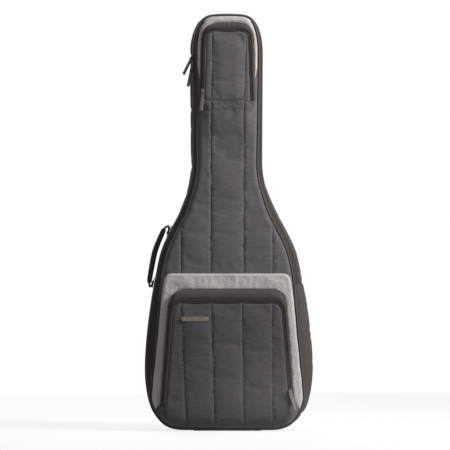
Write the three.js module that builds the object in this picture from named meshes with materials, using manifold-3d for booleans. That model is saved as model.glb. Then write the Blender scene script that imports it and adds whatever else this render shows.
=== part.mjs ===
// Padded gig bag for an acoustic guitar, standing on its base. Millimetres, +Z up, front towards -Y.
// The shell is a tray of side panels (the gusset) and a back panel. The lid is the padded front panel,
// which opens like a door about the unzipped stretch on the right. The lid carries two zipped pockets.
import * as THREE from 'three';
import { LoftGeometry } from 'three/addons/geometries/LoftGeometry.js';
import { mergeVertices } from 'three/addons/utils/BufferGeometryUtils.js';
import Module from 'manifold-3d';

// ---------------------------------------------------------------- driving dimensions
const HEIGHT = 1080;
const GUARD_THICK = 3; // the rubber guard that the bag stands on
const CLEAR = 0.3; // gap between pieces that touch

const FRONT_Y = -60; // outer face of the lid
const BACK_Y = 60; // outer face of the back panel
const SPLIT_Y = -44; // plane where the two rows of zip teeth meet
const SHELL_TAPE_BACK_Y = -28.5;
const GUSSET_END_Y = 46;
const WALL = 12; // foam gusset wall
const SEAM_OUT = 3; // piping centre, outside the edge of the front panel
const PIPING_R = 2.6;
const EDGE_GAP = 5; // how far the gusset stands outside the front panel at the top and the base

// How far the gusset bulges outside the front panel on the sides, by height.
const SIDE_GAP = [
  [0, 8], [80, 10], [112, 19], [170, 28], [250, 31], [330, 28],
  [410, 21], [520, 24], [570, 24], [623, 18], [780, 15.5], [HEIGHT, 13],
];

// Share of the bulge reached at each depth, front to back.
const TEETH_SHARE = 0.58;
const GUSSET_PROFILE = [[-28.2, 0.9], [-10, 1], [14, 1], [32, 0.85], [GUSSET_END_Y, 0.5]];

const POCKET = { hinge: 70, depth: 27, topOuter: 366, topFlap: 333, flapLow: 161, flapHigh: 140 };
const HEAD = { hinge: 856, depth: 14, topOuter: 1057, topFlap: 1035, flapLow: 60, flapHigh: 55 };
const BAND_TOP_Z = 408;
const STRAP = { topZ: 580, topX: 44, lowX: 54, padLowZ: 268, hookZ: 176, tabX: 146, thick: 12 };

// ---------------------------------------------------------------- materials
const cloth = (color) => new THREE.MeshStandardMaterial({ color, roughness: 0.9, metalness: 0 });
const MELANGE = cloth(0x4c4b4d);
const SIDE_CLOTH = cloth(0x3a3735);
const PALE_FELT = cloth(0xa39d99);
const TRIM = cloth(0x242322);
const LINING = cloth(0x8d8f93);
const RUBBER = new THREE.MeshStandardMaterial({ color: 0x1e1e1e, roughness: 0.7, metalness: 0 });
const NYLON = new THREE.MeshStandardMaterial({ color: 0x1b1b1b, roughness: 0.45, metalness: 0 });
const GUNMETAL = new THREE.MeshStandardMaterial({ color: 0x6f6a69, roughness: 0.35, metalness: 1 });
const SATIN = new THREE.MeshStandardMaterial({ color: 0xb9b4ae, roughness: 0.3, metalness: 1 });

const bag = new THREE.Group();
function add(name, geometry, material, parent = bag) {
  const mesh = new THREE.Mesh(geometry, material);
  mesh.name = name;
  parent.add(mesh);
  return mesh;
}

// ---------------------------------------------------------------- geometry helpers
const point = (x, y, z) => new THREE.Vector3(x, y, z);

function signedVolume(geometry) {
  const g = geometry.toNonIndexed();
  const at = g.getAttribute('position');
  const [a, b, c] = [point(), point(), point()];
  let sum = 0;
  for (let i = 0; i < at.count; i += 3) {
    a.fromBufferAttribute(at, i);
    b.fromBufferAttribute(at, i + 1);
    c.fromBufferAttribute(at, i + 2);
    sum += a.dot(b.cross(c));
  }
  return sum / 6;
}

// A closed solid through a row of closed sections. A ring joins its last section to its first.
function loft(sections, ring = false) {
  const rows = ring ? [...sections, sections[0]] : sections;
  const options = { closed: true, capStart: !ring, capEnd: !ring };
  const made = new LoftGeometry(rows, options);
  if (signedVolume(made) > 0) return made;
  return new LoftGeometry(rows.map((row) => [...row].reverse()), options);
}

// A plate in the XZ plane, from yBack forward to yFront, with its front and back edges rounded over.
function slab(outline, yFront, yBack, round = 0) {
  const made = new THREE.ExtrudeGeometry(new THREE.Shape(outline), {
    depth: yBack - yFront - 2 * round,
    bevelEnabled: round > 0,
    bevelThickness: round,
    bevelSize: round,
    bevelOffset: -round,
    bevelSegments: 2,
    steps: 1,
  });
  return made.rotateX(Math.PI / 2).translate(0, yBack - round, 0);
}

// A plate with rounded corners in its own XY plane, extruded up Z.
function roundedPlate(width, length, thick, radius) {
  const [w, l, r] = [width / 2, length / 2, radius];
  const shape = new THREE.Shape();
  shape.absarc(w - r, l - r, r, 0, Math.PI / 2);
  shape.absarc(r - w, l - r, r, Math.PI / 2, Math.PI);
  shape.absarc(r - w, r - l, r, Math.PI, 1.5 * Math.PI);
  shape.absarc(w - r, r - l, r, 1.5 * Math.PI, 2 * Math.PI);
  return new THREE.ExtrudeGeometry(shape, { depth: thick, bevelEnabled: false, curveSegments: 3 });
}

// A bar along Z with a rounded-rectangle section, used for the straps: width is across, thick is out.
function strapSection(centre, across, out, width, thick) {
  const corner = 0.35 * thick;
  const marks = [
    [width / 2, thick / 2 - corner], [width / 2 - corner, thick / 2],
    [corner - width / 2, thick / 2], [-width / 2, thick / 2 - corner],
    [-width / 2, corner - thick / 2], [corner - width / 2, -thick / 2],
    [width / 2 - corner, -thick / 2], [width / 2, corner - thick / 2],
  ];
  return marks.map(([a, o]) => centre.clone().addScaledVector(across, a).addScaledVector(out, o));
}

// A flat webbing or pad that follows a curve, its width square to the curve and as near to `side` as it gets.
function ribbon(curve, side, widthAt, thick, steps) {
  const sections = [];
  for (let i = 0; i <= steps; i++) {
    const along = curve.getTangentAt(i / steps);
    const across = side.clone().addScaledVector(along, -side.dot(along)).normalize();
    const out = new THREE.Vector3().crossVectors(along, across);
    sections.push(strapSection(curve.getPointAt(i / steps), across, out, widthAt(i / steps), thick));
  }
  return loft(sections);
}

function tube(curve, radius, steps, sides) {
  const shape = new THREE.Shape();
  for (let i = 0; i < sides; i++) {
    const a = (2 * Math.PI * i) / sides;
    if (i === 0) shape.moveTo(radius, 0);
    else shape.lineTo(radius * Math.cos(a), radius * Math.sin(a));
  }
  return new THREE.ExtrudeGeometry(shape, { steps, extrudePath: curve, bevelEnabled: false });
}

const wasm = await Module();
wasm.setup();

function solidOf(geometry) {
  const bare = geometry.clone();
  bare.deleteAttribute('normal');
  bare.deleteAttribute('uv');
  const merged = mergeVertices(bare, 1e-4);
  const index = merged.index.array;
  return new wasm.Manifold(new wasm.Mesh({
    numProp: 3,
    vertProperties: new Float32Array(merged.getAttribute('position').array),
    triVerts: new Uint32Array(index),
  }));
}

function geometryOf(solid) {
  const mesh = solid.getMesh();
  return new THREE.BufferGeometry()
    .setAttribute('position', new THREE.BufferAttribute(new Float32Array(mesh.vertProperties), 3))
    .setIndex(new THREE.BufferAttribute(new Uint32Array(mesh.triVerts), 1));
}

const join = (...parts) => geometryOf(parts.map(solidOf).reduce((a, b) => a.add(b)));
const cut = (whole, ...tools) => geometryOf(tools.map(solidOf).reduce((a, b) => a.subtract(b), solidOf(whole)));
const box = (w, d, h, x, y, z) => new THREE.BoxGeometry(w, d, h).translate(x, y, z);

// ---------------------------------------------------------------- the bag's outline
// Right half of the largest outline, from the middle of the base up to the middle of the top:
// flat base, base corner, lower bout, upper bout, shoulder, neck, head corner, top.
const bezier = (...n) => new THREE.CubicBezierCurve(...[0, 2, 4, 6].map((i) => new THREE.Vector2(n[i], n[i + 1])));
const straight = (x0, z0, x1, z1) => new THREE.LineCurve(new THREE.Vector2(x0, z0), new THREE.Vector2(x1, z1));
const OUTLINE = [
  [straight(0, GUARD_THICK, 110, GUARD_THICK), 2],
  [bezier(110, 3, 150, 3, 172, 14, 190, 43), 5],
  [bezier(190, 43, 204, 61.5, 216, 110, 216, 165), 5],
  [bezier(216, 165, 216, 230, 203, 325, 191, 385), 5],
  [bezier(191, 385, 185.5, 411, 181, 442, 174, 464), 2],
  [bezier(174, 464, 154, 526, 90.5, 600, 91, 700), 7],
  [straight(91, 700, 92.5, 975), 3],
  [bezier(92.5, 975, 92.5, 1015, 86, 1044, 72, 1062), 5],
  [bezier(72, 1062, 62, 1077, 46, HEIGHT, 0, HEIGHT), 4],
];

function between(table, at) {
  const i = Math.max(1, table.findIndex(([height]) => height >= at));
  const [[z0, v0], [z1, v1]] = [table[i - 1], table[i]];
  return THREE.MathUtils.lerp(v0, v1, (at - z0) / (z1 - z0));
}

const half = [];
for (const [curve, divisions] of OUTLINE) {
  for (let i = half.length ? 1 : 0; i <= divisions; i++) {
    const at = curve.getPoint(i / divisions);
    const along = curve.getTangent(i / divisions);
    const out = new THREE.Vector2(along.y, -along.x);
    const gap = EDGE_GAP + (between(SIDE_GAP, at.y) - EDGE_GAP) * out.x ** 2;
    half.push({ at, out, gap });
  }
}
const TOP = half.length - 1;
const RING = 2 * TOP;
const BASE_CORNER = 7;
const HINGE_LOW = 8;
const WAIST_SEAM = 17; // seam between the lower and upper side panels
const HEAD_SEAM = 29;

// Station number i goes up the right side from the middle of the base, over the top and down the left side.
function station(i) {
  const k = ((i % RING) + RING) % RING;
  const { at, out, gap } = half[k <= TOP ? k : RING - k];
  const side = k <= TOP ? 1 : -1;
  return { at: new THREE.Vector2(side * at.x, at.y), out: new THREE.Vector2(side * out.x, out.y), gap };
}

function midway(a, b, share) {
  return {
    at: a.at.clone().lerp(b.at, share),
    out: a.out.clone().lerp(b.out, share).normalize(),
    gap: THREE.MathUtils.lerp(a.gap, b.gap, share),
  };
}

// The stations from one number to another, drawn in a little at both ends to clear the next piece.
function run(from, to) {
  const found = [];
  for (let i = from; i <= to; i++) found.push(station(i));
  const last = found.length - 1;
  const inset = (a, b) => midway(a, b, (0.8 * CLEAR) / a.at.distanceTo(b.at));
  const [first, end] = [inset(found[0], found[1]), inset(found[last], found[last - 1])];
  found[0] = first;
  found[last] = end;
  return found;
}

// A point at a station, `off` outside the front panel's edge, at depth y.
function rim(s, off, y) {
  const reach = off - s.gap;
  return point(s.at.x + s.out.x * reach, y, s.at.y + s.out.y * reach);
}
const bulge = (s, share) => SEAM_OUT + share * (s.gap - SEAM_OUT);
const backEdge = (s) => 0.35 * (s.gap - EDGE_GAP) - 1;
const allStations = () => Array.from({ length: RING }, (_, i) => station(i));
const outlineAt = (off) => allStations().map((s) => {
  const p = rim(s, typeof off === 'function' ? off(s) : off, 0);
  return new THREE.Vector2(p.x, p.z);
});

// A round cord sewn along the outline: off(s) and y place its centre.
function piping(stations, off, y, radius, ring) {
  const sections = stations.map((s) => [0, 1, 2, 3, 4, 5].map((i) => {
    const a = (i * Math.PI) / 3;
    return rim(s, off(s) + radius * Math.cos(a), y + radius * Math.sin(a));
  }));
  return loft(sections, ring);
}

// A band along the outline whose section is given by [off, y] corners for each station.
const band = (stations, corners) => loft(stations.map((s) => corners(s).map(([off, y]) => rim(s, off, y))));

// ---------------------------------------------------------------- shell
function gussetPanel(name, from, to) {
  add(name, band(run(from, to), (s) => [
    ...GUSSET_PROFILE.map(([y, share]) => [bulge(s, share), y]),
    ...[...GUSSET_PROFILE].reverse().map(([y, share]) => [bulge(s, share) - WALL, y]),
  ]), SIDE_CLOTH);
}
gussetPanel('gusset_base', -BASE_CORNER, BASE_CORNER);
gussetPanel('gusset_right_lower', BASE_CORNER, WAIST_SEAM);
gussetPanel('gusset_right_upper', WAIST_SEAM, HEAD_SEAM);
gussetPanel('gusset_head', HEAD_SEAM, RING - HEAD_SEAM);
gussetPanel('gusset_left_upper', RING - HEAD_SEAM, RING - WAIST_SEAM);
gussetPanel('gusset_left_lower', RING - WAIST_SEAM, RING - BASE_CORNER);

const TAPE = 2.4;
const shellTape = (s) => [
  [bulge(s, TEETH_SHARE + 0.04), SPLIT_Y + 2.5], [bulge(s, 0.9), SHELL_TAPE_BACK_Y],
  [bulge(s, 0.9) - TAPE, SHELL_TAPE_BACK_Y], [bulge(s, TEETH_SHARE + 0.04) - TAPE, SPLIT_Y + 2.5],
];
const lidTape = (s) => [
  [4.2, -53.6], [bulge(s, TEETH_SHARE - 0.04) + 0.6, SPLIT_Y - 2.5],
  [bulge(s, TEETH_SHARE - 0.04) - TAPE, SPLIT_Y - 2.5], [1.2, -53.6],
];
const teeth = (low, high) => (s) => {
  const off = bulge(s, TEETH_SHARE);
  return [[off + 0.9, low], [off + 0.9, high], [off - 1.9, high], [off - 1.9, low]];
};
const ZIPPED = [WAIST_SEAM, RING + HINGE_LOW];
add('main_zip_tape_shell', band(run(...ZIPPED), shellTape), TRIM);
add('main_zip_teeth_shell', band(run(...ZIPPED), teeth(SPLIT_Y + 0.2, SPLIT_Y + 2.2)), NYLON);
add('hinge_strip_shell', band(run(HINGE_LOW, WAIST_SEAM), shellTape), SIDE_CLOTH);

add('back_panel', slab(outlineAt(backEdge), 48, BACK_Y, 4), MELANGE);
add('back_lining_pad', slab(outlineAt((s) => backEdge(s) - 16), 38, 48 - CLEAR, 2), LINING);
add('back_piping', piping(allStations(), (s) => backEdge(s) + 3.1, 51, PIPING_R, true), TRIM);
add('base_guard', roundedPlate(176, 84, GUARD_THICK - CLEAR, 10), RUBBER);

// Foam block with a notch that holds the guitar's neck, and the strap that closes over it.
function neckCradle() {
  const [halfWidth, front, back, notch] = [58, -2, 38 - CLEAR, 29];
  const shape = new THREE.Shape([
    new THREE.Vector2(-halfWidth, back), new THREE.Vector2(halfWidth, back),
    new THREE.Vector2(halfWidth, front), new THREE.Vector2(notch, front),
  ]);
  shape.absarc(0, front, notch, 0, Math.PI, false);
  shape.lineTo(-halfWidth, front);
  return new THREE.ExtrudeGeometry(shape, { depth: 60, bevelEnabled: false, curveSegments: 8 });
}
add('neck_cradle', neckCradle().translate(0, 0, 690), LINING);
add('neck_strap', roundedPlate(112, 38, 2, 6).rotateX(Math.PI / 2).translate(0, -2 - CLEAR, 720), TRIM);

// ---------------------------------------------------------------- lid
const lid = new THREE.Group();
bag.add(lid);
add('lid_panel', slab(outlineAt(0), FRONT_Y, -51, 3), MELANGE, lid);
add('lid_lining_pad', slab(outlineAt(-5), -51 + CLEAR, SPLIT_Y - 1, 2), LINING, lid);
add('lid_piping', piping(allStations(), () => SEAM_OUT, -56.5, PIPING_R, true), TRIM, lid);
add('main_zip_tape_lid', band(run(...ZIPPED), lidTape), TRIM, lid);
add('main_zip_teeth_lid', band(run(...ZIPPED), teeth(SPLIT_Y - 2.2, SPLIT_Y - 0.2)), NYLON, lid);
add('hinge_strip_lid', band(run(HINGE_LOW, WAIST_SEAM), lidTape), SIDE_CLOTH, lid);

// The three zipped sides of a pocket as a row of points: left leg, rounded corners, top, right leg.
function arch(low, high, zLow, zTop, radius) {
  const [foot, corner] = [new THREE.Vector2(low, zLow), new THREE.Vector2(high, zTop)];
  const legEnd = corner.clone().add(foot.clone().sub(corner).setLength(radius));
  const right = new THREE.Path().moveTo(0, zTop);
  right.lineTo(high - radius, zTop);
  const bend = new THREE.QuadraticBezierCurve(new THREE.Vector2(high - radius, zTop), corner, legEnd);
  const leg = new THREE.LineCurve(legEnd, foot);
  const side = [
    ...right.getPoints(1).slice(0, 1), ...bend.getPoints(5), ...leg.getPoints(3).slice(1),
  ];
  const mirrored = side.slice(1).reverse().map((p) => new THREE.Vector2(-p.x, p.y));
  return [...mirrored, ...side];
}

// The arches of a pocket: its foot on the lid, the front edge of its wall, its teeth and its flap.
function pocketLines(p, footLow, footHigh, rims, radii) {
  const grown = (by, radius) => arch(p.flapLow + by, p.flapHigh + by, p.hinge + 1, p.topFlap + by, radius);
  return {
    foot: arch(footLow, footHigh, p.hinge + 1, p.topOuter, radii.foot),
    front: grown(rims.wall, radii.wall),
    teethOut: grown(rims.teethOut, radii.flap),
    teethIn: grown(rims.teethIn, radii.flap),
    flap: arch(p.flapLow, p.flapHigh, p.hinge + 1.2, p.topFlap, radii.flap),
  };
}
const large = pocketLines(POCKET, 171, 148, { wall: 8.9, teethOut: 5.8, teethIn: 2.8 }, { foot: 40, wall: 32, flap: 26 });
const small = pocketLines(HEAD, 72, 65, { wall: 8.9, teethOut: 5.8, teethIn: 2.8 }, { foot: 46, wall: 32, flap: 26 });

const lift = (p, y) => point(p.x, y, p.y);
// A point moved towards a spot inside the pocket.
const inward = (p, by, z) => {
  const step = new THREE.Vector2(0, z).sub(p).setLength(by);
  return p.clone().add(step);
};

function pocketWall(lines, depth, middle) {
  return loft(lines.foot.map((foot, i) => [
    lift(foot, FRONT_Y - CLEAR),
    lift(lines.front[i], FRONT_Y - depth + 2.5),
    lift(inward(lines.front[i], 2.2, middle), FRONT_Y - depth + 2.5),
    lift(inward(foot, 3, middle), FRONT_Y - CLEAR),
  ]));
}
const pocketTeeth = (lines, depth) => loft(lines.teethOut.map((p, i) => [
  lift(p, FRONT_Y - depth + 0.4), lift(lines.teethIn[i], FRONT_Y - depth + 0.4),
  lift(lines.teethIn[i], FRONT_Y - depth + 2.8), lift(p, FRONT_Y - depth + 2.8),
]));

add('pocket_wall', pocketWall(large, POCKET.depth, 200), SIDE_CLOTH, lid);
add('pocket_zip_teeth', pocketTeeth(large, POCKET.depth), NYLON, lid);
add('head_pocket_wall', pocketWall(small, HEAD.depth, 930), SIDE_CLOTH, lid);
add('head_pocket_zip_teeth', pocketTeeth(small, HEAD.depth), NYLON, lid);

// The height of the front panel's lower edge at x.
function lowerEdge(x) {
  const edge = outlineAt(0).slice(0, WAIST_SEAM);
  const i = Math.max(1, edge.findIndex((p) => p.x >= Math.abs(x)));
  const [a, b] = [edge[i - 1], edge[i]];
  return THREE.MathUtils.lerp(a.y, b.y, (Math.abs(x) - a.x) / (b.x - a.x));
}

// Lower part of the large pocket, below its fold line: full width, bellied, sewn into the base seam.
function pocketSkirt() {
  const [reach, wall, stations] = [184, 3.2, 26];
  const belly = [[0, 0], [0.55, 0.12], [0.86, 0.4], [1, 1]];
  const sections = [];
  for (let i = 0; i <= stations; i++) {
    const x = reach * Math.sin((Math.PI * (i / stations - 0.5)));
    const edge = THREE.MathUtils.smoothstep(Math.abs(x), 156, reach);
    const [low, high] = [lowerEdge(x) + 3.5, POCKET.hinge - CLEAR - 12 * edge];
    const deep = THREE.MathUtils.lerp(POCKET.depth - 4, 0.5, edge);
    const outer = belly.map(([d, h]) => point(x, FRONT_Y - 4 - d * deep, THREE.MathUtils.lerp(low, high, h)));
    const inner = outer.map((p) => point(p.x, p.y + wall, p.z)).reverse();
    sections.push([...outer, ...inner]);
  }
  return loft(sections);
}
add('pocket_skirt', pocketSkirt(), MELANGE, lid);

// Short sloping hem under the small pocket.
function headHem() {
  const [low, high] = [HEAD.hinge - 20, HEAD.hinge - CLEAR];
  return loft([-1, 1].map((side) => {
    const x = side * (HEAD.flapLow + 6);
    return [
      point(x, FRONT_Y - CLEAR, low), point(x, FRONT_Y - 2.5, low),
      point(x, FRONT_Y - HEAD.depth, high), point(x, FRONT_Y - CLEAR, high),
    ];
  }));
}
add('head_pocket_hem', headHem(), MELANGE, lid);

// Pale felt bands around the pockets: outer edge along the lid's edge, inner edge round the pocket's foot.
const shrink = (p) => new THREE.Vector2(p.x, p.y);
function feltBand(from, to, outerCap, foot) {
  const right = [];
  for (let i = from; i <= to; i++) {
    const p = rim(station(i), -1.5, 0);
    right.push(new THREE.Vector2(p.x, p.z));
  }
  right.push(...outerCap);
  const left = right.filter((p) => p.x > 0.1).reverse().map((p) => new THREE.Vector2(-p.x, p.y));
  const outer = [...right, ...left];
  const inner = foot.map((p) => p.clone().add(shrink(p).sub(new THREE.Vector2(0, foot[0].y)).setLength(0.8)));
  return slab([...outer, ...inner], FRONT_Y - 1.4, FRONT_Y - CLEAR);
}
const bandCorner = new THREE.QuadraticBezierCurve(
  new THREE.Vector2(165, 388), new THREE.Vector2(162, BAND_TOP_Z), new THREE.Vector2(142, BAND_TOP_Z));
add('body_felt_band', feltBand(HINGE_LOW, WAIST_SEAM - 1, bandCorner.getPoints(5), large.foot), PALE_FELT, lid);
add('head_felt_band', feltBand(HEAD_SEAM, TOP, [], small.foot.slice(1, -1)), PALE_FELT, lid);

// ---------------------------------------------------------------- pocket flaps
const largeFlap = new THREE.Group();
const smallFlap = new THREE.Group();
lid.add(largeFlap, smallFlap);
add('pocket_flap', slab(large.flap, FRONT_Y - POCKET.depth, FRONT_Y - POCKET.depth + 4, 1), MELANGE, largeFlap);
add('head_pocket_flap', slab(small.flap, FRONT_Y - HEAD.depth, FRONT_Y - HEAD.depth + 3.2, 1), MELANGE, smallFlap);
const badge = roundedPlate(64, 14, 1.2, 4).rotateX(Math.PI / 2);
add('blank_badge', badge.translate(-84, FRONT_Y - POCKET.depth - CLEAR, 291), SATIN, largeFlap);

// ---------------------------------------------------------------- zip sliders and pulls
// Made pointing down -Z with the zip behind them: the slider's plate, its bridge, and the pull on the bridge.
const SLIDER = { width: 8, length: 18, plate: 2.6, bridge: 2.2, axisOut: 4.6 };
const PULL = { length: 48, eye: 9, thick: 2.6, width: 7.4 };

function sliderGeometry() {
  const plate = roundedPlate(SLIDER.width, SLIDER.length, SLIDER.plate, 3).rotateX(Math.PI / 2);
  const bridge = box(SLIDER.bridge, 5, 6.8, 0, -SLIDER.plate - 2.4, 0);
  const tunnel = box(SLIDER.bridge + 2, 3.2, 4.2, 0, -SLIDER.plate - 1.9, 0);
  return join(plate, cut(bridge, tunnel));
}

// The pull's eye turns about the X axis through the slider's bridge. `wide` is the eye's outer width.
function pullGeometry(wide) {
  const bar = box(wide, 1.8, 1.8, 0, 0, 0);
  const arm = (side) => box(1.8, 1.8, PULL.eye, side * (wide / 2 - 0.9), 0, 0.9 - PULL.eye / 2);
  const shoulder = box(wide, 1.8, 1.8, 0, 0, -PULL.eye + 0.9);
  const long = PULL.length - PULL.eye;
  const tab = roundedPlate(PULL.width, long, PULL.thick, 3)
    .rotateX(Math.PI / 2)
    .translate(0, PULL.thick / 2, 0.5 - PULL.eye - long / 2);
  const groove = roundedPlate(PULL.width - 3.2, long - 10, 1, 1.6)
    .rotateX(Math.PI / 2)
    .translate(0, -PULL.thick / 2 + 0.4, -PULL.eye - long / 2);
  return join(bar, arm(1), arm(-1), shoulder, cut(tab, groove));
}

// Places a slider with its plate's back face at `foot`, facing `out` (away from the bag), its top towards `up`.
// Its pull leans sideways by `lean` degrees and stands off by `tilt` degrees.
function zipSlider(name, foot, out, up, { lean, tilt = 0, wide = 8.4 }, parent) {
  const back = out.clone().negate();
  const side = new THREE.Vector3().crossVectors(back, up).normalize();
  const top = new THREE.Vector3().crossVectors(side, back);
  const frame = new THREE.Group();
  frame.applyMatrix4(new THREE.Matrix4().makeBasis(side, back, top).setPosition(foot));
  parent.add(frame);
  add(`${name}_slider`, sliderGeometry(), GUNMETAL, frame);
  const hang = new THREE.Group();
  hang.position.set(0, -SLIDER.axisOut, 0);
  hang.rotation.set(-THREE.MathUtils.degToRad(tilt), THREE.MathUtils.degToRad(lean), 0);
  frame.add(hang);
  add(`${name}_pull`, pullGeometry(wide), GUNMETAL, hang);
}

// A spot on the left side of the main zip at height z, and the direction that the zip faces there.
const MAIN_ZIP_OUT = point(-0.78, -0.62, 0).normalize();
function mainZipAt(z) {
  const [low, high] = [station(RING - 26), station(RING - 29)];
  const s = midway(low, high, (z - low.at.y) / (high.at.y - low.at.y));
  return rim(s, bulge(s, TEETH_SHARE), SPLIT_Y).addScaledVector(MAIN_ZIP_OUT, 2.6);
}
const neckLine = mainZipAt(960).sub(mainZipAt(720)).normalize();
zipSlider('main_zip_upper', mainZipAt(966), MAIN_ZIP_OUT, neckLine, { lean: 26, tilt: 13, wide: 10 }, lid);
zipSlider('main_zip_lower', mainZipAt(939), MAIN_ZIP_OUT, neckLine, { lean: 6, tilt: 9, wide: 10 }, lid);

// A spot on a leg of a pocket's zip, a share of the way up from its foot: -1 is the left leg, 1 the right.
function pocketZipAt(lines, side, z, depth) {
  const legs = lines.teethOut.map((p, i) => p.clone().add(lines.teethIn[i]).multiplyScalar(0.5));
  const [foot, knee] = side > 0 ? [legs.at(-1), legs.at(-4)] : [legs[0], legs[3]];
  const at = foot.clone().lerp(knee, (z - foot.y) / (knee.y - foot.y));
  return { foot: lift(at, FRONT_Y - depth - 1), up: lift(knee.clone().sub(foot), 0).normalize() };
}
const FORWARD = point(0, -1, 0);
const largeZip = pocketZipAt(large, 1, 100, POCKET.depth);
zipSlider('pocket_zip', largeZip.foot, FORWARD, largeZip.up, { lean: -12 }, lid);
const smallZip = pocketZipAt(small, -1, 876, HEAD.depth);
zipSlider('head_pocket_zip', smallZip.foot, FORWARD, smallZip.up, { lean: 4 }, lid);

// ---------------------------------------------------------------- side handle
// The padded grip follows the left side over the waist, with finger room behind it.
const HANDLE = { topZ: 507, lowZ: 392, topOff: 15.5, lowOff: 12.5, width: 26, thick: 13, webbing: 22 };

// A point off the left side at height z, half way between the front and the back.
function leftSide(z, off) {
  const i = half.findIndex((s) => s.at.y >= z && s.at.x > 100);
  const [a, b] = [half[i - 1], half[i]];
  const s = midway(a, b, (z - a.at.y) / (b.at.y - a.at.y));
  return point(-s.at.x - s.out.x * off, 0, s.at.y + s.out.y * off);
}
const through = (...spots) => new THREE.CatmullRomCurve3(spots.map(([z, off]) => leftSide(z, off)));
const DEEP = point(0, 1, 0);
const { topZ, lowZ, topOff, lowOff } = HANDLE;
const gripLine = through([lowZ, lowOff], [430, 13.5], [470, 14.5], [topZ, topOff]);
const swell = (t) => HANDLE.width * (0.86 + 0.14 * Math.sin(Math.PI * t));
add('handle_grip', ribbon(gripLine, DEEP, swell, HANDLE.thick, 7), RUBBER);
const upperLoop = through([topZ + 1, topOff], [topZ + 9, topOff - 1], [topZ + 15, topOff - 7], [topZ + 10, 3.6]);
const lowerLoop = through([lowZ - 1, lowOff], [lowZ - 9, lowOff - 1], [lowZ - 14, lowOff - 6], [lowZ - 9, 3.6]);
add('handle_loop_upper', ribbon(upperLoop, DEEP, () => HANDLE.webbing, 2.6, 8), TRIM);
add('handle_loop_lower', ribbon(lowerLoop, DEEP, () => HANDLE.webbing, 2.6, 8), TRIM);
const patch = (z) => ribbon(new THREE.LineCurve3(leftSide(z - 13, 1.2), leftSide(z + 13, 1.2)), DEEP, () => 36, 1.2, 1);
add('handle_patch_upper', patch(topZ + 10), TRIM);
add('handle_patch_lower', patch(lowZ - 9), TRIM);

// ---------------------------------------------------------------- grab loop at the head
const GRAB = { z: 1030, drop: 58, halfWidth: 24, r: 6 };
const grabY = BACK_Y + 3 + GRAB.r + 1;
add('grab_patch', roundedPlate(76, 34, 2.4, 6).rotateX(Math.PI / 2).translate(0, BACK_Y + 2.4 + CLEAR, GRAB.z + 2), TRIM);
const grabCurve = new THREE.CatmullRomCurve3([
  point(-GRAB.halfWidth, grabY, GRAB.z), point(-GRAB.halfWidth, grabY, GRAB.z - 0.6 * GRAB.drop),
  point(-0.5 * GRAB.halfWidth, grabY, GRAB.z - GRAB.drop), point(0.5 * GRAB.halfWidth, grabY, GRAB.z - GRAB.drop),
  point(GRAB.halfWidth, grabY, GRAB.z - 0.6 * GRAB.drop), point(GRAB.halfWidth, grabY, GRAB.z),
]);
add('grab_loop', tube(grabCurve, GRAB.r, 20, 8), TRIM);

// ---------------------------------------------------------------- shoulder straps
// Each strap hangs from the yoke. Its snap hook clips to the ring at the bottom corner when the bag is carried.
const strapY = BACK_Y + 0.8 + STRAP.thick / 2;
const yokeShape = [[-84, 588], [84, 588], [70, 634], [-70, 634]].map(([x, z]) => new THREE.Vector2(x, z));
add('strap_yoke', slab(yokeShape, BACK_Y + CLEAR, BACK_Y + 3.3, 1), TRIM);

// A ladder-lock: a frame with two slots.
function ladderLock() {
  const frame = roundedPlate(38, 30, 4, 4).rotateX(Math.PI / 2).translate(0, 2, 0);
  const slot = (z) => box(28, 8, 5.5, 0, 0, z);
  return cut(frame, slot(6.5), slot(-5.5));
}

// A flat snap hook: an eye for the webbing above a hooked ring with a gate gap.
function snapHook() {
  const eye = cut(roundedPlate(36, 14, 4, 3), box(27, 5, 8, 0, 0, 2));
  const neck = box(10, 9, 4, 0, -10, 2);
  const ring = new THREE.Shape();
  ring.absarc(0, -24, 11.5, 0.65, 2 * Math.PI - 0.1, false);
  ring.absarc(0, -24, 6.8, 2 * Math.PI - 0.1, 0.65, true);
  const hooked = new THREE.ExtrudeGeometry(ring, { depth: 4, bevelEnabled: false, curveSegments: 10 });
  return join(eye, neck, hooked).rotateX(Math.PI / 2).translate(0, 2, 0);
}

// The square ring at a bottom corner, hanging in the webbing tab that is sewn to the back.
const RING_AXIS = { y: BACK_Y + 4.4, z: 130 };
function cornerTab() {
  const shape = new THREE.Shape([[0.3, 168], [0.3, 125.6], [8.5, 125.6], [8.5, 134.4], [3.2, 139], [3.2, 168]]
    .map(([y, z]) => new THREE.Vector2(BACK_Y + y, z)));
  const hole = new THREE.Path();
  hole.absellipse(RING_AXIS.y, RING_AXIS.z, 2.9, 2.9, 0, 2 * Math.PI, true);
  shape.holes.push(hole);
  const along = new THREE.ExtrudeGeometry(shape, { depth: 24, bevelEnabled: false, curveSegments: 3 });
  return along.applyMatrix4(new THREE.Matrix4().makeBasis(point(0, 1, 0), point(0, 0, 1), point(1, 0, 0)));
}
function squareRing() {
  const frame = roundedPlate(36, 25, 3, 3);
  return cut(frame, box(27.6, 18, 8, 0, 0, 0)).rotateX(Math.PI / 2).translate(0, 1.5, -10.75);
}

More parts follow.
